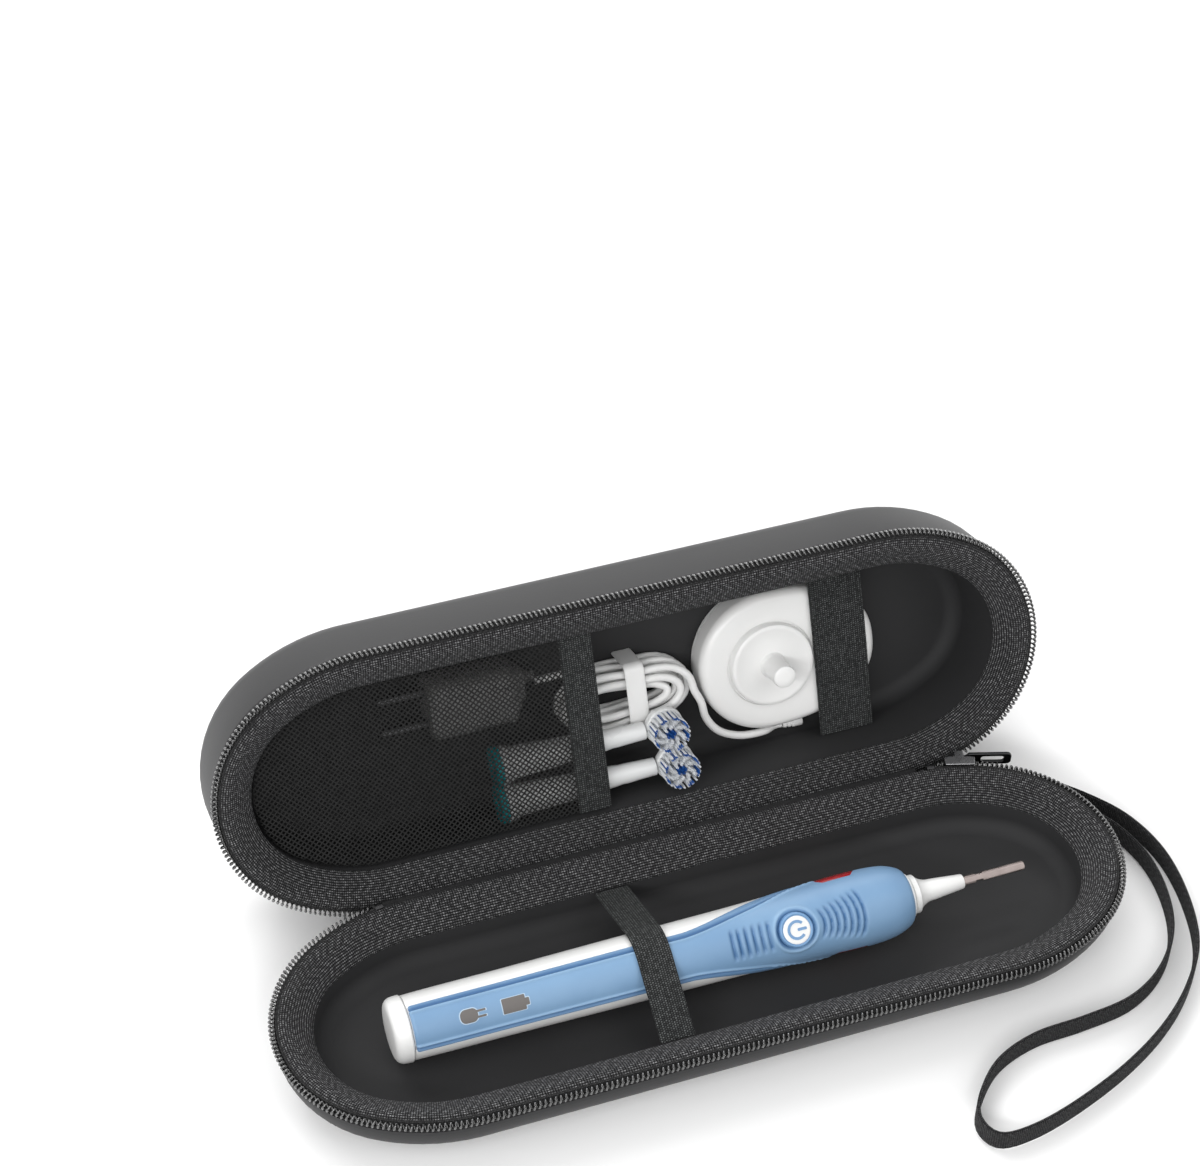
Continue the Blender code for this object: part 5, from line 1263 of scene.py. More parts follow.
LENS_SPAN = (0.0272, 0.0478)
LENS_POINTS = 60


def pressure_lens():
    """The light that shows too much pressure: a curved red band round the back of the bulge."""
    first, last = LENS_SPAN
    half = pi - LENS_EDGE + radians(2)
    turns = [pi + half * (2 * k / LENS_POINTS - 1) for k in range(LENS_POINTS + 1)]
    stations = steps(first, last, 0.0007)
    rings = []
    for x in stations:
        radius = brush_radius(x)
        end = 0.0003 * (1.0 - smooth_share(x, first, first + 0.0018) + smooth_share(x, last - 0.0018, last))
        rings.append([on_brush(x, turn, radius - 0.0001 - end) for turn in turns]
                     + [on_brush(x, turn, radius - 0.0008) for turn in reversed(turns)])
    lofted("pressure_lens_red", rings, stations, [0.0002 * k for k in range(len(rings[0]) + 1)], RED_LENS,
           "toothbrush", "pressure_light", ("pressure_light",))


pressure_lens()

# %% [markdown]
# ## Neck and drive shaft
#
# A white collar rises from the bulge in a hollow curve and ends in a slim neck. The steel shaft beyond it
# has a flat on one side and a notch, which a brush head's clip snaps into.

# %% Neck and drive shaft
NECK_START = 0.0608
NECK_END = 0.0773
SHAFT_RADIUS = 0.0014
SHAFT_HOLE = SHAFT_RADIUS + 0.0003
NECK_FOOT = NECK_START + 0.0018
SHAFT_FLAT = 0.0009
neck_profile = [
    (NECK_START, 0.0022), (NECK_START, 0.0054), (NECK_START + 0.0002, 0.0056),
    (NECK_START + 0.0015, 0.0056), (NECK_START + 0.0017, 0.0054), (NECK_FOOT, 0.0051),
]
neck_profile += [(NECK_FOOT + 0.0047 * k / 12, 0.0031 + 0.0020 * (1 - k / 12)**2.2) for k in range(1, 13)]
neck_profile += [
    (0.0695, 0.0029), (NECK_END - 0.0004, 0.00215), (NECK_END - 0.0001, 0.0020), (NECK_END, 0.0018),
    (NECK_END, SHAFT_HOLE), (NECK_END - 0.004, SHAFT_HOLE),
]
turned_on_brush("neck_collar_white", neck_profile, WHITE, "toothbrush", "white_plastic",
                ("neck_collar",), sides=64)
shaft_profile = [
    (0.0323, SHAFT_RADIUS), (0.0810, SHAFT_RADIUS), (0.0812, 0.0011), (0.0832, 0.0011),
    (0.0834, SHAFT_RADIUS), (0.0960, SHAFT_RADIUS), (0.0964, SHAFT_RADIUS - 0.0002),
    (0.0965, SHAFT_RADIUS - 0.0004),
]


def with_flat(x, turn, radius):
    """The shaft's radius, cut by the flat on its upper side."""
    return SHAFT_FLAT / cos(turn) if radius * cos(turn) > SHAFT_FLAT else radius


turned_on_brush("drive_shaft_steel", shaft_profile, SHAFT_METAL, "shaft", "metal", ("drive_shaft",),
                sides=48, shaped=with_flat)

# %% [markdown]
# ## Zip slider and puller
#
# The slider is a die-cast clip round both coils, with ears for its puller. Each metal piece is made from
# a section carried along the rim's curve, and a small bevel rounds its edges so they catch the light.

# %% Zip slider and puller
SHOULDER_CENTRE = Vector((STRAIGHT_END, HALF_WIDTH - SHOULDER_RADIUS, 0.0))
SLIDER_TURN = radians(17)
SLIDER_LENGTH = 0.009
KNUCKLE_RADIUS = 0.0009
EAR_REACH = 0.0022
SLIDER_OUTER = -0.0019
SLIDER_TOP = -0.0001
SLIDER_BOTTOM = 0.0046


def on_shoulder(turn, inset, depth):
    """A point beside the right-hand shoulder arc of the lower half."""
    normal = Vector((sin(turn), cos(turn), 0.0))
    place = SHOULDER_CENTRE + normal * (SHOULDER_RADIUS - inset)
    return Vector((place.x, place.y, BASE_DEPTH - depth))


def rounded_edges(piece, width):
    """A bevel on every sharp edge of a piece."""
    bevel = piece.modifiers.new("rounded edges", "BEVEL")
    bevel.width = width
    bevel.segments = 3
    bevel.limit_method = "ANGLE"
    bevel.harden_normals = True
    return piece


def cast_on_shoulder(name, section, reach, count, replaced=(), pinch=0.0):
    """A metal section carried along the shoulder arc, narrower at its ends by a pinch."""
    middle = sum(i for i, d in section) / len(section)
    turns = [SLIDER_TURN - reach + 2 * reach * k / count for k in range(count + 1)]
    rings = []
    for turn in turns:
        share = abs((turn - SLIDER_TURN) / reach)**3
        rings.append([on_shoulder(turn, i + (middle - i) * pinch * share, d) for i, d in section])
    piece = lofted(name, rings, [turn * SHOULDER_RADIUS for turn in turns], distances(section, True), SILVER,
                   "slider", "metal", replaced)
    rounded_edges(piece, 0.00022)


WING = 0.0006
EAR = 0.0009
wings = [
    (SLIDER_OUTER, SLIDER_TOP), (0.0015, SLIDER_TOP), (0.0015, SLIDER_TOP + WING),
    (-0.0010, SLIDER_TOP + WING), (-0.0010, SLIDER_BOTTOM - EAR), (-0.0003, SLIDER_BOTTOM - EAR),
    (-0.0003, SLIDER_BOTTOM), (SLIDER_OUTER, SLIDER_BOTTOM),
]
cast_on_shoulder("zip_slider_body", wings, SLIDER_LENGTH / 2 / SHOULDER_RADIUS, 12, ("zip_slider",),
                 pinch=0.12)
for ear_name, low in (("upper", SLIDER_TOP), ("lower", SLIDER_BOTTOM - EAR)):
    ear = [(SLIDER_OUTER - EAR_REACH, low), (SLIDER_OUTER + 0.0004, low),
           (SLIDER_OUTER + 0.0004, low + EAR), (SLIDER_OUTER - EAR_REACH, low + EAR)]
    cast_on_shoulder("zip_slider_ear_" + ear_name, ear, 0.0013 / SHOULDER_RADIUS, 2)


def zip_pull():
    """The flat tab with a slot and a round knuckle between the slider's ears."""
    place = on_shoulder(SLIDER_TURN, SLIDER_OUTER - EAR_REACH / 2, 0.0)
    along = Vector((cos(SLIDER_TURN), -sin(SLIDER_TURN), 0.0))
    out = Vector((sin(SLIDER_TURN), cos(SLIDER_TURN), 0.0))
    level = BASE_DEPTH - (SLIDER_TOP + SLIDER_BOTTOM) / 2
    tab = rounded_box(0.0026, 0.0160, -0.0022, 0.0022, 0.0014, 5)
    outer = [(KNUCKLE_RADIUS, -0.0011), (0.0022, -0.0011), (0.0031, -0.0022)] + tab[18:] + tab[:6]
    outer += [(0.0031, 0.0022), (0.0022, 0.0011), (KNUCKLE_RADIUS, 0.0011)]
    slot = rounded_box(0.0068, 0.0138, -0.0011, 0.0011, 0.0010, 5)
    mesh = bpy.data.meshes.new("zip_pull_tab")
    with opened(mesh) as work:
        loops = []
        for outline in (outer, slot):
            verts = [work.verts.new((x, y, 0.0)) for x, y in outline]
            loops += [work.edges.new((a, b)) for a, b in zip(verts, verts[1:] + verts[:1])]
        bmesh.ops.triangle_fill(work, use_beauty=True, edges=loops)
        for vert in work.verts:
            vert.co = Vector((place.x, place.y, level + vert.co.y)) + along * vert.co.x
    piece = make_piece("zip_pull_tab", mesh, GUNMETAL, "puller", "metal", ("zip_puller",))
    rounded_edges(thicken(piece, 0.0010), 0.00024)

    def on_knuckle(height, ahead, outwards):
        return Vector((place.x, place.y, level + height)) + along * ahead + out * outwards

    turned("zip_pull_knuckle", on_knuckle, [
        (-0.00145, KNUCKLE_RADIUS - 0.0002), (-0.0012, KNUCKLE_RADIUS), (0.0012, KNUCKLE_RADIUS),
        (0.00145, KNUCKLE_RADIUS - 0.0002),
    ], GUNMETAL, "puller", "metal", sides=24)


zip_pull()

# %% [markdown]
# ## Zip stops
#
# A small metal staple is clinched over each coil's last turns on both sides of the hinge.

# %% Zip stops
STOP_LENGTH = 0.0024
stop_section = [
    (-0.0005, 0.0012), (-0.0001, 0.0008), (0.0008, 0.0007), (0.0015, 0.0009), (0.0017, 0.0014),
    (0.0017, 0.0029), (0.0012, 0.0033), (0.0000, 0.0033), (-0.0005, 0.0028),
]
for half in (BASE, LID):
    for side, first in (("right", ZIP_FIRST - STOP_LENGTH - 0.0002), ("left", ZIP_LAST + 0.0002)):
        name = "%s_zip_stop_%s" % (half.body, side)
        rounded_edges(along_rim(name + "_clip", half, stop_section, GUNMETAL, "metal", (name,), first=first,
                                last=first + STOP_LENGTH, gap=0.0008), 0.00015)

# %% [markdown]
# ## Wrist strap
#
# The strap is flat webbing that stands on its edge in one loose loop. Its centre line is repeated from
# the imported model, smoothed by the same curve, and a section with soft edges is carried along it.

# %% Wrist strap
STRAP_WIDTH = 0.007
STRAP_THICKNESS = 0.0011
TAB_TURN = radians(12.5)
TAB_LENGTH = 0.011
TAB_DEPTH = 0.0062
TAB_INNER = -CLEARANCE
TAB_OUTER = TAB_INNER - 2 * STRAP_THICKNESS - 3 * CLEARANCE
TAB_END_TURN = TAB_TURN + TAB_LENGTH / SHOULDER_RADIUS
PATH_SAMPLES = 24
STRAP_ROUTE = [
    (0.1105, 0.0345, 0.0088), (0.1195, 0.0312, 0.0066), (0.1300, 0.0235, 0.0046),
    (0.1385, 0.0120, 0.0040), (0.1425, -0.0030, 0.0040), (0.1415, -0.0200, 0.0040),
    (0.1365, -0.0370, 0.0040), (0.1270, -0.0500, 0.0040), (0.1140, -0.0610, 0.0040),
    (0.0980, -0.0700, 0.0040), (0.0800, -0.0770, 0.0040), (0.0650, -0.0808, 0.0040),
    (0.0545, -0.0805, 0.0040), (0.0515, -0.0735, 0.0040), (0.0560, -0.0655, 0.0040),
    (0.0650, -0.0575, 0.0040), (0.0780, -0.0530, 0.0040), (0.0940, -0.0520, 0.0040),
    (0.1090, -0.0498, 0.0040), (0.1215, -0.0430, 0.0040), (0.1310, -0.0320, 0.0040),
    (0.1360, -0.0185, 0.0040), (0.1372, -0.0035, 0.0040), (0.1335, 0.0105, 0.0040),
    (0.1258, 0.0205, 0.0046), (0.1175, 0.0272, 0.0066), (0.1092, 0.0318, 0.0088),
]


def smooth_path(controls, gap):
    """Evenly spaced points on a curve through given points."""
    knots = [Vector(p) for p in controls]
    knots = [2 * knots[0] - knots[1]] + knots + [2 * knots[-1] - knots[-2]]
    fine = []
    for k in range(1, len(knots) - 2):
        a, b, c, d = knots[k - 1:k + 3]
        for n in range(PATH_SAMPLES):
            t = n / PATH_SAMPLES
            fine.append(0.5 * (2 * b + (c - a) * t + (2 * a - 5 * b + 4 * c - d) * t**2
                               + (3 * b - a - 3 * c + d) * t**3))
    fine.append(knots[-2])
    walked = distances(fine)
    count = max(2, int(walked[-1] / gap) + 1)
    spaced = []
    place = 0
    for k in range(count + 1):
        want = walked[-1] * k / count
        while place < len(fine) - 2 and walked[place + 1] < want:
            place += 1
        run = walked[place + 1] - walked[place]
        spaced.append(fine[place].lerp(fine[place + 1], min((want - walked[place]) / run, 1.0)))
    return spaced


def flat_section(width, thickness, round_off, rows=8):
    """A strip's section with rounded selvedges: (across, out) pairs."""
    half = width / 2
    out = thickness / 2
    top = [(-half + round_off + (width - 2 * round_off) * k / rows, out) for k in range(rows + 1)]
    right = [(half, out * 0.35), (half, -out * 0.35)]
    left = [(-half, -out * 0.35), (-half, out * 0.35)]
    return top + right + [(a, -b) for a, b in reversed(top)] + left


def wrist_strap():
    """The loop of webbing."""
    depth = TAB_DEPTH + STRAP_WIDTH / 2
    along = Vector((cos(TAB_END_TURN), -sin(TAB_END_TURN), 0.0))
    leave = on_shoulder(TAB_END_TURN, TAB_OUTER + STRAP_THICKNESS / 2, depth) + along * CLEARANCE
    come_back = on_shoulder(TAB_END_TURN, TAB_INNER - STRAP_THICKNESS / 2, depth) + along * CLEARANCE
    lead = along * STRAP_WIDTH / 2
    path = smooth_path([leave, leave + lead, *STRAP_ROUTE, come_back + lead, come_back], 0.0018)
    section = flat_section(STRAP_WIDTH, STRAP_THICKNESS, 0.0004)
    rings = []
    for here, ahead in zip(path, [along] + tangents(path)[1:-1] + [-along]):
        side = Vector((ahead.y, -ahead.x, 0.0)).normalized()
        rings.append([here + side * out + Vector((0.0, 0.0, across)) for across, out in section])
    walked = distances(path)
    strap = lofted("wrist_strap_webbing", rings, walked, distances(section, True), STRAP, "base", "webbing",
                   ("wrist_strap",), smooth=50)
    [tuple(p) for p in path]
    return walked[-1]


strap_length = wrist_strap()
print("strap length, mm:", round(strap_length * 1000, 1))


def strap_tab():
    """The folded tab sewn below the zip, with a cover seam where its end is turned in."""
    foot = TAB_DEPTH + STRAP_WIDTH
    section = [(TAB_INNER, TAB_DEPTH + 0.0004), (TAB_INNER - 0.0004, TAB_DEPTH),
               (TAB_OUTER + 0.0006, TAB_DEPTH), (TAB_OUTER, TAB_DEPTH + 0.0005)]
    section += [(TAB_OUTER, TAB_DEPTH + STRAP_WIDTH * k / 6) for k in range(1, 6)]
    section += [(TAB_OUTER, foot - 0.0005), (TAB_OUTER + 0.0006, foot), (TAB_INNER - 0.0004, foot),
                (TAB_INNER, foot - 0.0004)]
    rings = []
    count = 22
    for k in range(count + 1):
        turn = TAB_TURN + (TAB_END_TURN - TAB_TURN) * k / count
        squeeze = 0.75 * hill(k - 3, 1.2) + 0.55 * hill(k - 19, 1.0)
        rings.append([on_shoulder(turn, i + (TAB_INNER - i) * 0.35 * squeeze, d) for i, d in section])
    lofted("strap_tab_webbing", rings, [TAB_LENGTH * k / count for k in range(count + 1)],
           distances(section, True), STRAP, "base", "webbing", ("strap_tab",), smooth=50)


strap_tab()

# %% [markdown]
# ## Hinge strip
#
# A strip of the same synthetic leather joins the two back walls and folds between the rims. Its points
# follow the lower half at one leaf, the opened lid at the other, and turn smoothly between them. The bend
# is measured along a slope that starts at the lower leaf's free edge.

# %% Hinge strip
SPINE_THICKNESS = 0.0009
SPINE_LEAF = 0.005
SPINE_TOP_DEPTH = 0.0082
SPINE_EDGE = 0.45


def hinge_strip():
    """The strip in the YZ plane, drawn along the case."""
    face = HALF_WIDTH + CLEARANCE + SPINE_THICKNESS / 2
    low = BASE_DEPTH - SPINE_TOP_DEPTH
    leaf = SHELL_EDGE_DEPTH + CLEARANCE
    far_low = LID.at(0.0, face, leaf)
    far_high = LID.at(0.0, face, leaf + SPINE_LEAF)
    reach = (far_low.y - face) / 2
    controls = [Vector((0.0, face + reach * share, low + rise)) for share, rise in (
        (0.0, 0.0009 - SPINE_LEAF), (0.0, -0.0012), (0.0, 0.0), (0.45, 0.0007), (1.0, 0.0009), (1.6, 0.0005))]
    path = smooth_path(controls + [far_low, far_low.lerp(far_high, 0.3), far_high], 0.0005)
    sides = [X_WAY.cross(ahead) * SPINE_THICKNESS / 2 for ahead in tangents(path)]
    sides[0] *= SPINE_EDGE
    sides[-1] *= SPINE_EDGE
    ring = [p + side for p, side in zip(path, sides)] + [p - side for p, side in zip(path, sides)][::-1]
    stations = steps(-SPINE_LENGTH / 2, SPINE_LENGTH / 2, 0.003)
    rings = [[p + X_WAY * x for p in ring] for x in stations]
    walked = distances(path)
    across = walked + [walked[-1] + w for w in walked] + [2 * walked[-1]]
    strip = lofted("hinge_strip_leather", rings, stations, across, LEATHER, None, "leather",
                   ("hinge_spine",), smooth=50)
    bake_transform(strip)
    return walked[-1]


hinge_width = hinge_strip()
print("hinge strip, mm:", round(hinge_width * 1000, 1))

# %% [markdown]
# ## Elastic bands
#
# Both bands are flat elastic, sewn to the liner at their ends and stretched over what they hold. Each is
# made in two halves. A half follows the case at its sewn end and the held thing at its middle, so the
# band pulls up with the toothbrush or the charger and still reaches both walls.

# %% Elastic bands
BAND_THICKNESS = 0.0009
BASE_BAND = (-0.024, -0.014)
LID_BAND = (0.0615, 0.0785)
LID_BAND_RISE = 0.0004


def strip(name, path, width, thickness, finish, body, slot, replaced, grooves=(), rows=40):
    """Flat elastic or webbing along a path, with rounded selvedges and sunk stitch lines."""
    section = []
    for across, out in flat_section(width, thickness, 0.0005, rows):
        if out > 0.9 * thickness / 2:
            out -= sum(0.00030 * hill(across - place, 0.00026) for place in grooves)
        section.append((across, out))
    rings = []
    for here, ahead in zip(path, tangents(path)):
        out_way = ahead.cross(X_WAY).normalized()
        rings.append([here + X_WAY * across + out_way * out for across, out in section])
    return lofted(name, rings, distances(path), distances(section, True), finish, body, slot, replaced,
                  smooth=50)


def band_grooves(width):
    """The two stitch lines near each selvedge."""
    half = width / 2
    return (-half + 0.0013, half - 0.0013)


def base_band_path():
    """From the front wall up, over the handle and down to the back wall."""
    inset = FLANGE_LIP[0] + TRAY_DRAFT + CLEARANCE + BAND_THICKNESS
    edge = HALF_WIDTH - inset
    level = BASE_DEPTH - FLANGE_LIP[1] - CLEARANCE
    middle = BRUSH_TURN.translation
    radius = brush_radius(-0.019) + CLEARANCE + BAND_THICKNESS / 2
    touches = []
    for side in (-1, 1):
        across, up = side * edge - middle.y, level - middle.z
        touches.append((atan2(up, across) + side * acos(radius / hypot(up, across))) % (2 * pi))
    over = [middle + Vector((0.0, cos(t), sin(t))) * radius for t in steps(*touches, 0.06)]
    start = Vector((0.0, -edge - 0.0004, level - 0.0001))
    end = Vector((0.0, edge + 0.0004, level - 0.0001))
    front_run = [start.lerp(over[0], k / 12) for k in range(12)]
    back_run = [over[-1].lerp(end, k / 12) for k in range(1, 13)]
    return front_run, over, back_run


front_run, over, back_run = base_band_path()
half_way = len(over) // 2
band_x = X_WAY * (BASE_BAND[0] + BASE_BAND[1]) / 2
band_width = BASE_BAND[1] - BASE_BAND[0]
for name, path, sewn, held in (
    ("base_band_front", front_run + over[:half_way + 1], front_run[0], over[0]),
    ("base_band_back", over[half_way:] + back_run, back_run[-1], over[-1]),
):
    piece = strip(name, [p + band_x for p in path], band_width, BAND_THICKNESS, ELASTIC_DARK, None,
                  "elastic", ("base_band",), band_grooves(band_width))
    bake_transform(piece)
print("base band, mm:", round(1000 * distances(front_run + over + back_run)[-1], 1))

LID_FLOOR = tray_floor(LID_DEPTH)
CHARGER_PLATE = 0.0012
CHARGER_HEIGHT = 0.0088
lid_band_level = LID_FLOOR - 2 * CLEARANCE - CHARGER_PLATE - CHARGER_HEIGHT - BAND_THICKNESS / 2
lid_band_edge = HALF_WIDTH - FLANGE_LIP[0] - TRAY_DRAFT - CLEARANCE
lid_band_x = (LID_BAND[0] + LID_BAND[1]) / 2
lid_band_width = LID_BAND[1] - LID_BAND[0]
for name, sign in (("lid_band_front", -1), ("lid_band_back", 1)):
    path = [LID.at(lid_band_x, sign * lid_band_edge * (1 - k / 28),
                   lid_band_level - LID_BAND_RISE * sin(pi / 2 * k / 28)) for k in range(29)]
    piece = strip(name, path if sign < 0 else path[::-1], lid_band_width, BAND_THICKNESS, ELASTIC_DARK,
                  None, "elastic", ("lid_band",), band_grooves(lid_band_width), rows=68)
    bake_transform(piece)

# %% [markdown]
# ## Net pocket
#
# The pocket at the left of the lid is a soft knitted net, sewn in under the binding and closed at its
# mouth by a flat elastic hem. The holes are real: a lattice of small squares turned by 45 degrees, each
# with a hole, and the crossings stand a little proud as knots do.

# %% Net pocket
NET_MATERIAL = grained_finish("knitted_net", (0.006, 0.006, 0.006), (0.026, 0.026, 0.026), 0.7, 0.9,
                              2400.0, 0.00003, patches=300.0, shine=0.2)
NET_DEPTH = 0.008
NET_INSET = FLANGE_LIP[0] + TRAY_DRAFT + 2 * CLEARANCE
NET_START = -0.1129
HEM_START = -0.0195
HEM_WIDTH = 0.0100
HEM_THICKNESS = 0.0013
NET_PITCH = 0.00122
NET_STRAND = 0.00040
NET_THREAD = 0.00028


def pocket_net():
    """The lattice, held inside the rim's outline."""
    last = HEM_START + 0.0012
    level = NET_DEPTH + 0.0004
    index = {}
    points = []

    def put(key, a, b, rise):
        if key not in index:
            x = (a - b) * NET_PITCH * 0.5**0.5 + NET_START
            y = (a + b) * NET_PITCH * 0.5**0.5
            x = min(max(x, NET_START), last)
            edge = half_width_at(x, NET_INSET)
            y = min(max(y, -edge), edge)
            index[key] = len(points)
            points.append(LID.at(x, y, level - rise))
        return index[key]

    faces = []
    reach = int(0.13 / NET_PITCH)
    gap = NET_STRAND / 2 / NET_PITCH
    for a in range(-reach, reach):
        for b in range(-reach, reach):
            x = (a - b) * NET_PITCH * 0.5**0.5 + NET_START
            y = (a + b + 1) * NET_PITCH * 0.5**0.5
            if not NET_START <= x <= last or abs(y) > half_width_at(x, NET_INSET):
                continue
            outer = [put((a + i, b + j), a + i, b + j, 0.00010) for i, j in ((0, 0), (1, 0), (1, 1), (0, 1))]
            hole = [put((a, b, i, j), a + (1 - gap if i else gap), b + (1 - gap if j else gap), -0.00004)
                    for i, j in ((0, 0), (1, 0), (1, 1), (0, 1))]
            for k in range(4):
                n = (k + 1) % 4
                faces.append((outer[k], outer[n], hole[n], hole[k]))
    mesh = bpy.data.meshes.new("pocket_net_knitted")
    mesh.from_pydata([tuple(p) for p in points], [], faces)
    with opened(mesh) as work:
        bmesh.ops.dissolve_degenerate(work, edges=work.edges, dist=0.00002)
    mesh.shade_smooth()
    net = make_piece("pocket_net_knitted", mesh, NET_MATERIAL, "lid", "net", ("pocket_net",))
    thicken(net, NET_THREAD)
    columns = steps(NET_START, last, 0.001)
    area = sum(2 * half_width_at(x, NET_INSET) for x in columns) * (last - NET_START) / len(columns)
    width = 2 * (HALF_WIDTH - NET_INSET)
    return net, width, last - NET_START


net, net_width, net_length = pocket_net()
print("net, mm:", round(net_width * 1000, 1), round(net_length * 1000, 1), "faces:", len(net.data.polygons))

hem_edge = HALF_WIDTH - NET_INSET
hem_path = [LID.at(HEM_START + HEM_WIDTH / 2, hem_edge * (k / 20 - 1), NET_DEPTH + HEM_THICKNESS / 2)
            for k in range(41)]
strip("pocket_hem_elastic", hem_path, HEM_WIDTH, HEM_THICKNESS, ELASTIC_DARK, "lid", "elastic",
      ("pocket_hem",), band_grooves(HEM_WIDTH))

# %% [markdown]
# ## Charger
#
# The charger is a white moulded base, round at one end and drawn out at the other, with a raised disc
# and the peg that the handle stands on. It is made from outlines stacked in height, with a broad soft
# edge, and the disc and peg are turned.

# %% Charger
CHARGER_CENTRE = (0.048, 0.001)
CHARGER_RADIUS = 0.022
CHARGER_TAIL = 0.034
CHARGER_TAIL_FULL = 2.3
CHARGER_POINTS = 120
CHARGER_EDGE = 0.0030
CHARGER_FLOOR = LID_FLOOR - CLEARANCE


def on_charger(x, y, height):
    """A point on the charger, about its own centre."""
    return LID.at(CHARGER_CENTRE[0] + x, CHARGER_CENTRE[1] + y, CHARGER_FLOOR - height)


def charger_outline(inset):
    """Round at the left, drawn out and a little square at the right."""
    places = []
    for c, s in circle(CHARGER_POINTS):
        length = CHARGER_RADIUS
        if c > 0:
            length = CHARGER_TAIL
            c, s = (copysign(abs(v)**(2 / CHARGER_TAIL_FULL), v) for v in (c, s))
        places.append(((length - inset) * c, (CHARGER_RADIUS - inset) * s))
    return places


def charger_piece(name, profile, replaced):
    """Stacked outlines: (inset, height, share of a round disc instead of the outline)."""
    rings = []
    for inset, height, round_share in profile:
        ring = []
        for x, y in charger_outline(0.0 if round_share else inset):
            if round_share:
                reach = hypot(x, y)
                x, y = x / reach * inset, y / reach * inset
            ring.append(on_charger(x, y, height))
        rings.append(ring)
    lofted(name, rings, distances([(h, i) for i, h, r in profile]),
           [0.0012 * k for k in range(CHARGER_POINTS + 1)], WHITE, "charger", "white_plastic", replaced,
           smooth=35)


body_low = CHARGER_PLATE + CLEARANCE
body_top = CHARGER_PLATE + CHARGER_HEIGHT
charger_piece("charger_foot_plate", [(0.0008, 0.0, 0), (0.0002, 0.0003, 0), (0.0002, CHARGER_PLATE, 0)],
              ("charger_plate",))
housing = [(0.0010, body_low - 0.0002, 0), (0.0003, body_low, 0), (0.0, body_low + 0.0004, 0)]
housing += [(CHARGER_EDGE * (1 - cos(t)), body_top - CHARGER_EDGE * (1 - sin(t)), 0)
            for t in steps(0.0, pi / 2, pi / 18)]
housing += [(0.0140, body_top, 1), (0.0137, body_top - 0.0001, 1), (0.0135, body_top - 0.0005, 1),
            (0.0100, body_top - 0.0005, 1)]
charger_piece("charger_housing", housing, ("charger_body",))


def above_charger(height, x, y):
    """A point about the charger's axis."""
    return on_charger(x, y, height)


disc_top = body_top + CLEARANCE + 0.0022
turned("charger_raised_disc", above_charger, [
    (body_top - 0.0006, 0.0120), (body_top - 0.0004, 0.0130), (disc_top - 0.0010, 0.0130),
    (disc_top - 0.0003, 0.0127), (disc_top, 0.0121), (disc_top - 0.00005, 0.0114),
    (disc_top - 0.0003, 0.0108), (disc_top - 0.0004, 0.0060), (disc_top - 0.0003, 0.0044),
], WHITE, "charger", "white_plastic", ("charger_platform",), sides=80, smooth=35)
peg_top = disc_top + CLEARANCE + 0.0095
turned("charger_post", above_charger, [
    (disc_top - 0.0005, 0.0042), (disc_top, 0.0040), (disc_top + 0.0005, 0.0037),
    (disc_top + 0.0012, 0.0036), (peg_top - 0.0008, 0.0035), (peg_top - 0.0003, 0.0033),
    (peg_top, 0.0028), (peg_top, 0.0010),
], WHITE, "charger", "white_plastic", ("charger_peg",), sides=56, smooth=35)

# %% [markdown]
# ## Cord
#
# The low-voltage cord leaves the charger through a small relief, runs once round the charger's edge, and
# is wound into a flat hank held by a tie. Its end goes into the plug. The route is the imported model's:
# turns laid in four layers, drawn in at the waist by the tie. One tube carries it from end to end.

# %% Cord
CORD = grained_finish("cord_jacket", (0.76, 0.76, 0.755), (0.86, 0.86, 0.85), 0.30, 0.42, 1400.0,
                      0.000006, coat=0.1)
CORD_RADIUS = 0.0012
HANK_CENTRE = (0.0020, 0.0020)
HANK_HALF_LENGTH = 0.0210
HANK_HALF_WIDTH = 0.0117
HANK_TURN_STEP = 0.0038
HANK_LAYER_STEP = 0.0029
HANK_LAYERS = 4
HANK_TURNS_A_LAYER = 2.0625
HANK_POINTS = 36
HANK_CLIMB_REACH = 0.25
HANK_WAIST_SHARE = 0.25
HANK_WAIST_PLACE = 0.003
HANK_WAIST_LENGTH = 0.010
CORD_ROUTE = [
    (0.0252, 0.0085, 0.0215), (0.0262, 0.0140, 0.0216), (0.0300, 0.0195, 0.0222),
    (0.0370, 0.0235, 0.0240), (0.0450, 0.0249, 0.0256),
]
RELIEF_RADIUS = 0.0017
RELIEF_Y = CHARGER_RADIUS + CLEARANCE + RELIEF_RADIUS
RELIEF_HEIGHT = CHARGER_PLATE + CLEARANCE + RELIEF_RADIUS
RELIEF_END = 0.010 - 0.0060 - CLEARANCE


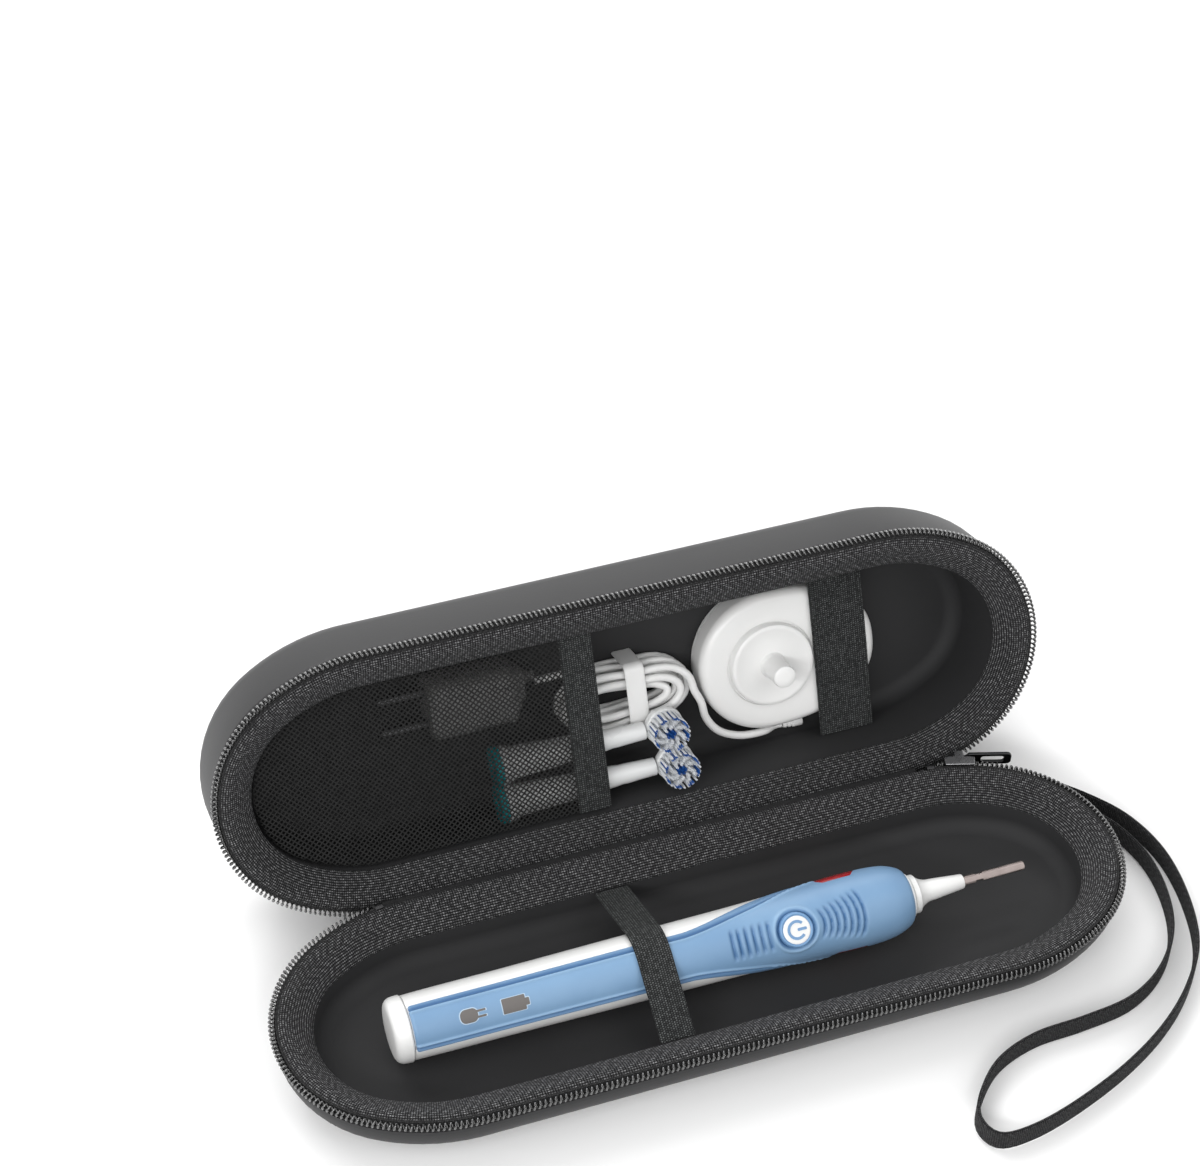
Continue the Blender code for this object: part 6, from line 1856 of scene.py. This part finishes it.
def hank_point(turns):
    """A point of the hank's centre line after a number of turns: x, y and its layer."""
    layer = min(int(turns / HANK_TURNS_A_LAYER), HANK_LAYERS - 1)
    share = turns / HANK_TURNS_A_LAYER - layer
    wound_in = share if layer % 2 == 0 else 1.0 - share
    shrink = wound_in * HANK_TURNS_A_LAYER * HANK_TURN_STEP
    climb = layer
    for step in range(1, HANK_LAYERS):
        gone = turns - step * HANK_TURNS_A_LAYER
        if abs(gone) < HANK_CLIMB_REACH:
            climb = step - 1 + (gone + HANK_CLIMB_REACH) / (2 * HANK_CLIMB_REACH)
    half_width = HANK_HALF_WIDTH - shrink
    bow = half_width + HANK_HALF_LENGTH - HANK_HALF_WIDTH
    angle = 2 * pi * turns - pi / 2
    x = bow * cos(angle)
    y = half_width * sin(angle)
    waist = 1.0 - HANK_WAIST_SHARE * hill(x - HANK_WAIST_PLACE, HANK_WAIST_LENGTH)
    return HANK_CENTRE[0] + x, HANK_CENTRE[1] + y * waist, climb


def tube_rings(path, radius, sides):
    """Rings of a round tube along a path, without twist."""
    rings = []
    side = (path[1] - path[0]).normalized().orthogonal().normalized()
    for here, ahead in zip(path, tangents(path)):
        side = (side - ahead * side.dot(ahead)).normalized()
        other = ahead.cross(side)
        rings.append([here + (side * c + other * s) * radius for c, s in circle(sides)])
    return rings


PLUG_FACE = HANK_CENTRE[0] - HANK_HALF_LENGTH - 3 * CORD_RADIUS


def cord_path():
    """The cord from the charger's relief to the plug, in the lid's closed x, y and depth."""
    floor_level = CHARGER_FLOOR - CORD_RADIUS
    total = HANK_LAYERS * HANK_TURNS_A_LAYER
    count = int(total * HANK_POINTS)
    wound = []
    for k in range(count + 1):
        x, y, climb = hank_point(total * k / count)
        wound.append(Vector((x, y, floor_level - climb * HANK_LAYER_STEP)))
    along = (wound[-1] - wound[-2]).normalized()
    relief = Vector((CHARGER_CENTRE[0] + RELIEF_END, CHARGER_CENTRE[1] + RELIEF_Y,
                     CHARGER_FLOOR - RELIEF_HEIGHT))
    lead = smooth_path([wound[-1], wound[-1] + along * 2 * CORD_RADIUS, *CORD_ROUTE,
                        relief - X_WAY * 2 * CORD_RADIUS, relief], 0.0013)
    plug_end = Vector((PLUG_FACE, wound[0].y, floor_level))
    return lead[::-1] + wound[::-1][1:] + [plug_end + X_WAY * 2 * CORD_RADIUS, plug_end]


cord_points = [LID.at(p.x, p.y, p.z) for p in cord_path()]
cord_walked = distances(cord_points)
cord = lofted("charger_cord", tube_rings(cord_points, CORD_RADIUS, 12), cord_walked,
              [0.00063 * k for k in range(13)], CORD, None, "white_cord", ("cord_hank", "cord_lead"),
              smooth=60)
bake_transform(cord)


def cord_relief():
    """The moulded relief on the charger's edge: a block that tapers to the cord in three ribs."""
    turned("cord_relief_ribbed", lambda x, y, z: on_charger(x, RELIEF_Y + y, RELIEF_HEIGHT + z), [
        (0.0102, 0.0017), (0.0100, 0.00185), (0.0072, 0.00185), (0.0068, 0.0015), (0.0065, 0.0015),
        (0.0063, 0.00165), (0.0058, 0.0016), (0.0056, 0.0014), (0.0053, 0.0014), (0.0051, 0.00155),
        (0.0046, 0.0015), (0.0044, 0.00135), (0.0041, 0.0013), (0.0040, 0.00125),
    ], CORD, "charger", "white_cord", ("cord_relief",), sides=20)
    inner = CHARGER_RADIUS - 0.0015
    corners = [(inner, -0.0013), (RELIEF_Y, -0.0013), (RELIEF_Y, 0.0013), (inner, 0.0013)]
    foot = [[on_charger(x, y, RELIEF_HEIGHT + z) for y, z in corners] for x in (0.0068, 0.0100)]
    neck = lofted("cord_relief_neck", foot, [0.0, 0.003], [0.0] * 5, CORD, "charger", "white_cord")
    rounded_edges(neck, 0.0004)


cord_relief()

# %% [markdown]
# ## Tie
#
# A flat strap closes round the hank's waist.

# %% Tie
TIE_WIDTH = 0.006
TIE_THICKNESS = 0.0009
TIE_CORNER = 0.0022


def cord_tie():
    """A band over the hank with rounded corners, down to the floor on both sides."""
    centre_x = HANK_CENTRE[0] + HANK_WAIST_PLACE
    hank_height = 2 * CORD_RADIUS + (HANK_LAYERS - 1) * HANK_LAYER_STEP + 2 * CLEARANCE
    reach = HANK_HALF_WIDTH * (1.0 - HANK_WAIST_SHARE) + CORD_RADIUS + 3 * CLEARANCE + TIE_THICKNESS / 2
    low = CHARGER_FLOOR
    high = low - hank_height - TIE_THICKNESS / 2
    corner = [(TIE_CORNER * (1 - cos(t)), TIE_CORNER * (1 - sin(t))) for t in steps(0.1, pi / 2, 0.3)]
    flat = [(-reach, low), (-reach, high + TIE_CORNER)]
    flat += [(y - reach, high + depth) for y, depth in corner]
    flat += [(-reach * 0.5, high - 0.00015), (0.0, high - 0.0002), (reach * 0.5, high - 0.00015)]
    flat += [(reach - y, high + depth) for y, depth in reversed(corner)]
    flat += [(reach, high + TIE_CORNER), (reach, low)]
    path = [LID.at(centre_x, HANK_CENTRE[1] + y, depth) for y, depth in flat]
    strip("cord_tie_flat", path, TIE_WIDTH, TIE_THICKNESS, CORD, "lid", "white_cord", ("cord_tie",), rows=6)


cord_tie()

# %% [markdown]
# ## Plug
#
# The plug lies under the net. Its body tapers towards the cord, with finger grips moulded in its sides
# and two round pins. A rounded section is carried along it, and its size follows the grips.

# %% Plug
PLUG_LENGTH = 0.030
PLUG_WIDTH = 0.018
PLUG_HEIGHT = 0.016
PLUG_RELIEF_LENGTH = 0.0045
PIN_LENGTH = 0.014
PIN_RADIUS = 0.0016
PIN_SPACING = 0.010
# The pins' nickel is painted darker, as painted shade for the dark pocket that they lie in and reflect.
PIN_METAL = metal_finish("nickel_in_painted_shade", (0.10, 0.10, 0.105), (0.15, 0.15, 0.155), 0.45, 0.60)
PLUG_GREY = grained_finish("plug_plastic", (0.24, 0.24, 0.24), (0.31, 0.31, 0.305), 0.40, 0.52, 1500.0,
                           0.00001)
plug_side = HANK_CENTRE[1] - HANK_HALF_WIDTH
plug_end_x = PLUG_FACE - CLEARANCE - PLUG_RELIEF_LENGTH - CLEARANCE
plug_start_x = plug_end_x - PLUG_LENGTH + CLEARANCE


def plug():
    """The plug's body, relief and pins; returns the pieces that go with the cord."""
    middle = CHARGER_FLOOR - PLUG_HEIGHT / 2
    stations = steps(0.0, 1.0, 0.02)
    rings = []
    for share in stations:
        x = plug_start_x + (plug_end_x - plug_start_x) * share
        end = 1.0 - 0.16 * (1.0 - smooth_share(share, 0.0, 0.06)) - 0.42 * smooth_share(share, 0.80, 1.0)
        grip_cut = 0.06 * (0.5 - 0.5 * cos(2 * pi * (share - 0.40) / 0.066)) if 0.40 < share < 0.80 else 0.0
        w, h = PLUG_WIDTH / 2 * (end - grip_cut), PLUG_HEIGHT / 2 * end
        level = middle + (PLUG_HEIGHT / 2 - h) * smooth_share(share, 0.8, 1.0)
        rings.append([LID.at(x, plug_side + y, level + d)
                      for y, d in rounded_box(-w, w, -h, h, min(w, h) * 0.55, 7)])
    pieces = [lofted("plug_housing", rings, [PLUG_LENGTH * share for share in stations],
                     [0.002 * k for k in range(len(rings[0]) + 1)], PLUG_GREY, "lid", "plug", ("plug_body",),
                     smooth=50)]
    profile = []
    for k in range(4):
        x = plug_end_x + 0.0012 * k
        size = 0.00235 - 0.00022 * k
        profile += [(x, size), (x + 0.0007, size - 0.0001), (x + 0.0008, size - 0.0005),
                    (x + 0.0011, size - 0.0005)]
    pieces.append(turned("plug_relief_ribbed", LID.about(plug_side, CHARGER_FLOOR - 0.0024), profile,
                         PLUG_GREY, "lid", "plug", ("plug_relief",), sides=20))
    root = plug_start_x - CLEARANCE
    tip = root - PIN_LENGTH
    pin = [(root + 0.0006, PIN_RADIUS), (tip + 0.0012, PIN_RADIUS), (tip + 0.0005, PIN_RADIUS * 0.8),
           (tip, PIN_RADIUS * 0.45)]
    for letter, side in (("a", plug_side - PIN_SPACING / 2), ("b", plug_side + PIN_SPACING / 2)):
        pieces.append(turned("plug_pin_%s_turned" % letter, LID.about(side, middle), pin, PIN_METAL,
                             "lid", "metal", ("plug_pin_" + letter,), sides=24))
    return pieces


plug_pieces = plug()
tuple(cord_points[0])
[tuple(p) for p in cord_points]

# %% [markdown]
# ## Spare brush heads
#
# Two heads lie side by side with their stems under the net's hem. Each has a coloured ring, a slim
# translucent stem and a round disc. The bristles stand in tufts: a blue group in the middle, white
# fans round it and short blue arcs at the rim. Each tuft is a bundle of thin strands that lean a little.

# %% Spare brush heads
TEAL = grained_finish("teal_ring", (0.0, 0.260, 0.290), (0.004, 0.340, 0.370), 0.25, 0.36, 1500.0,
                      0.000006, coat=0.2)
STEM = grained_finish("head_stem", (0.68, 0.69, 0.69), (0.82, 0.83, 0.83), 0.22, 0.34, 1200.0,
                      0.000006, coat=0.3)
BRISTLE_WHITE = grained_finish("white_bristle", (0.84, 0.87, 0.90), (0.95, 0.96, 0.97), 0.4, 0.5, 900.0,
                               0.000003, patches=900.0)
BRISTLE_BLUE = grained_finish("blue_bristle", (0.010, 0.075, 0.330), (0.030, 0.150, 0.500), 0.35, 0.45,
                              900.0, 0.000003, patches=900.0)
HEAD_RING_START = -0.042
HEAD_RING_LENGTH = 0.0050
HEAD_RING_RADIUS = 0.0060
HEAD_DEPTH = NET_DEPTH + 0.0012 + HEAD_RING_RADIUS
TEAL_LENGTH = 0.0021
HEAD_STEM_RADIUS = 0.0050
HEAD_NECK_RADIUS = 0.0026
HEAD_DISC_RADIUS = 0.0060
HEAD_DISC_THICKNESS = 0.0030
BRISTLE_BACKING = 0.0008
BRISTLE_LENGTH = 0.0058
HEADS = (("a", 0.0100, 0.0110), ("b", 0.0223, 0.0130))
STRAND_RADIUS = 0.00012
STRANDS = 13
STRAND_SIDES = 5
STRAND_SHAPE = ((0.0, 0.0, 1.0), (0.55, 0.45, 1.0), (0.95, 1.0, 0.85), (1.0, 1.0, 0.4))
MIDDLE_TUFTS_LOWER = 0.0006
WHITE_TUFTS_LOWER = 0.0003
GOLDEN_TURN = 2.39996


def tuft_places():
    """Places of the tufts on one disc: (radius, angle, size, is blue)."""
    places = [(0.0, 0.0, 0.00050, True)]
    places += [(0.00105, 2 * pi * k / 5, 0.00042, True) for k in range(5)]
    for k in range(8):
        angle = 2 * pi * k / 8
        places += [(0.0021 + 0.00075 * row, angle + 0.17 * row, 0.00046 + 0.00006 * row, False)
                   for row in range(4)]
        places += [(0.0049, angle + 0.22 + 0.14 * part, 0.00018, True) for part in range(3)]
        places += [(0.0054, angle + 0.262 * part, 0.00032, False) for part in range(3)]
    return places


def bristle_piece(name, frame_at, blue, finish, body, replaced):
    """Strands of one colour over the whole disc."""
    points = []
    faces = []
    base = HEAD_DISC_THICKNESS / 2 + CLEARANCE / 2
    for number, (reach, angle, size, is_blue) in enumerate(tuft_places()):
        if is_blue != blue:
            continue
        centre = Vector((reach * cos(angle), reach * sin(angle)))
        tall = BRISTLE_LENGTH + BRISTLE_BACKING
        tall -= MIDDLE_TUFTS_LOWER if reach < 0.002 else 0.0
        tall -= 0.0 if blue else WHITE_TUFTS_LOWER
        for n in range(STRANDS):
            turn = GOLDEN_TURN * n + number
            spread = size * ((n + 0.5) / STRANDS)**0.5
            foot = centre + Vector((cos(turn), sin(turn))) * spread
            foot = foot * min(1.0, 0.0055 / max(foot.length, 1e-9))
            tip = foot + foot * 0.045 + Vector((cos(turn * 1.7), sin(turn * 1.7))) * 0.00010
            tip = tip * min(1.0, 0.0056 / max(tip.length, 1e-9))
            height = tall * (0.965 + 0.035 * cos(3.1 * n + number))
            first = len(points)
            for level, lean, share in STRAND_SHAPE:
                middle = foot.lerp(tip, lean)
                radius = STRAND_RADIUS * share
                points += [frame_at(middle.x + radius * c, middle.y + radius * s, base + height * level)
                           for c, s in circle(STRAND_SIDES)]
            for row in range(len(STRAND_SHAPE) - 1):
                a = first + STRAND_SIDES * row
                b = a + STRAND_SIDES
                faces += [(a + k, a + (k + 1) % STRAND_SIDES, b + (k + 1) % STRAND_SIDES, b + k)
                          for k in range(STRAND_SIDES)]
            faces.append(tuple(b + k for k in range(STRAND_SIDES)))
            faces.append(tuple(first + k for k in reversed(range(STRAND_SIDES))))
    mesh = bpy.data.meshes.new(name)
    mesh.from_pydata([tuple(p) for p in points], [], faces)
    make_piece(name, finished(mesh, 60), finish, body, "bristle", replaced)


def spare_head(letter, y, disc_x):
    """One spare head."""
    body = "disc_" + letter
    head = "head_%s_" % letter
    ring_end = HEAD_RING_START + HEAD_RING_LENGTH
    teal_end = HEAD_RING_START + TEAL_LENGTH
    axis = LID.about(y, HEAD_DEPTH)
    turned(head + "colour_ring", axis, [
        (HEAD_RING_START + 0.0030, SHAFT_HOLE), (HEAD_RING_START, SHAFT_HOLE),
        (HEAD_RING_START, HEAD_RING_RADIUS - 0.0004), (HEAD_RING_START + 0.0004, HEAD_RING_RADIUS),
        (teal_end, HEAD_RING_RADIUS), (teal_end, SHAFT_HOLE + 0.0004),
    ], TEAL, "lid", "teal_ring", (head + "ring",), smooth=35)
    turned(head + "ring_sleeve", axis, [
        (teal_end, SHAFT_HOLE + 0.0004), (teal_end, HEAD_RING_RADIUS - 0.0002),
        (ring_end - 0.0012, HEAD_RING_RADIUS - 0.0002), (ring_end - 0.0008, HEAD_RING_RADIUS - 0.0004),
        (ring_end, HEAD_RING_RADIUS - 0.0006), (ring_end, HEAD_STEM_RADIUS - 0.0008),
    ], STEM, "lid", "white_plastic", (head + "ring",), smooth=35)
    first = ring_end + CLEARANCE
    neck = disc_x - HEAD_DISC_RADIUS - CLEARANCE
    profile = [(first - 0.0003, 0.0030), (first - 0.0003, HEAD_STEM_RADIUS - 0.0003),
               (first, HEAD_STEM_RADIUS)]
    for k in range(1, 25):
        share = k / 24
        radius = HEAD_STEM_RADIUS + (HEAD_NECK_RADIUS - HEAD_STEM_RADIUS) * smooth_share(share, -0.15, 1.15)
        radius -= 0.00018 * (hill(share - 0.62, 0.02) + hill(share - 0.74, 0.02))
        profile.append((first + (neck - first) * share, radius))
    profile.append((neck + 0.0001, HEAD_NECK_RADIUS * 0.9))
    turned(head + "stem_moulded", axis, profile, STEM, "lid", "white_plastic", (head + "stem",), smooth=35)

    def at(x, yy, height):
        return LID.at(disc_x + x, y + yy, HEAD_DEPTH - height)

    half = HEAD_DISC_THICKNESS / 2
    sides = 60
    rings = []
    for r, h in ((0.0030, -half), (0.0054, -half), (0.0059, -half + 0.0004), (0.0060, -half + 0.0010),
                 (0.0060, half - 0.0006), (0.0058, half - 0.0002), (0.0055, half), (0.0010, half)):
        ring = []
        for k in range(sides):
            turn = 2 * pi * k / sides
            reach = r - (0.00018 * (0.5 - 0.5 * cos(9 * turn)) if r > 0.0053 else 0.0)
            ring.append(at(reach * cos(turn), reach * sin(turn), h))
        rings.append(ring)
    lofted(head + "round_disc", rings, [0.0] * len(rings), [0.0] * (sides + 1), STEM, body, "white_plastic",
           (head + "disc",))
    for colour, finish in (("blue", BRISTLE_BLUE), ("white", BRISTLE_WHITE)):
        bristle_piece(head + "tufts_" + colour, at, colour == "blue", finish, body, (head + "bristles",))


for head_values in HEADS:
    spare_head(*head_values)

# %% [markdown]
# ## Parts inside the handle
#
# The battery, motor, board and coil are hidden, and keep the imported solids. They still get finishes for
# a reader who opens the model.

# %% Parts inside the handle
COPPER = metal_finish("copper_wire", (0.55, 0.22, 0.10), (0.80, 0.38, 0.20), 0.22, 0.36)
BATTERY_WRAP = grained_finish("battery_wrap", (0.03, 0.14, 0.05), (0.05, 0.20, 0.08), 0.3, 0.45,
                              1200.0, 0.00001)
BOARD = grained_finish("circuit_board", (0.010, 0.075, 0.030), (0.020, 0.120, 0.050), 0.3, 0.42,
                       1800.0, 0.00001)
RUBBER = grained_finish("seal_rubber", (0.012, 0.012, 0.012), (0.03, 0.03, 0.03), 0.6, 0.8, 2200.0,
                        0.00002)
for node, finish in (("battery", BATTERY_WRAP), ("motor", SILVER), ("circuit_board", BOARD),
                     ("charging_coil", COPPER), ("seal_ring", RUBBER)):
    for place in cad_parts[node].material_slots:
        place.material = finish
print("inner parts finished")
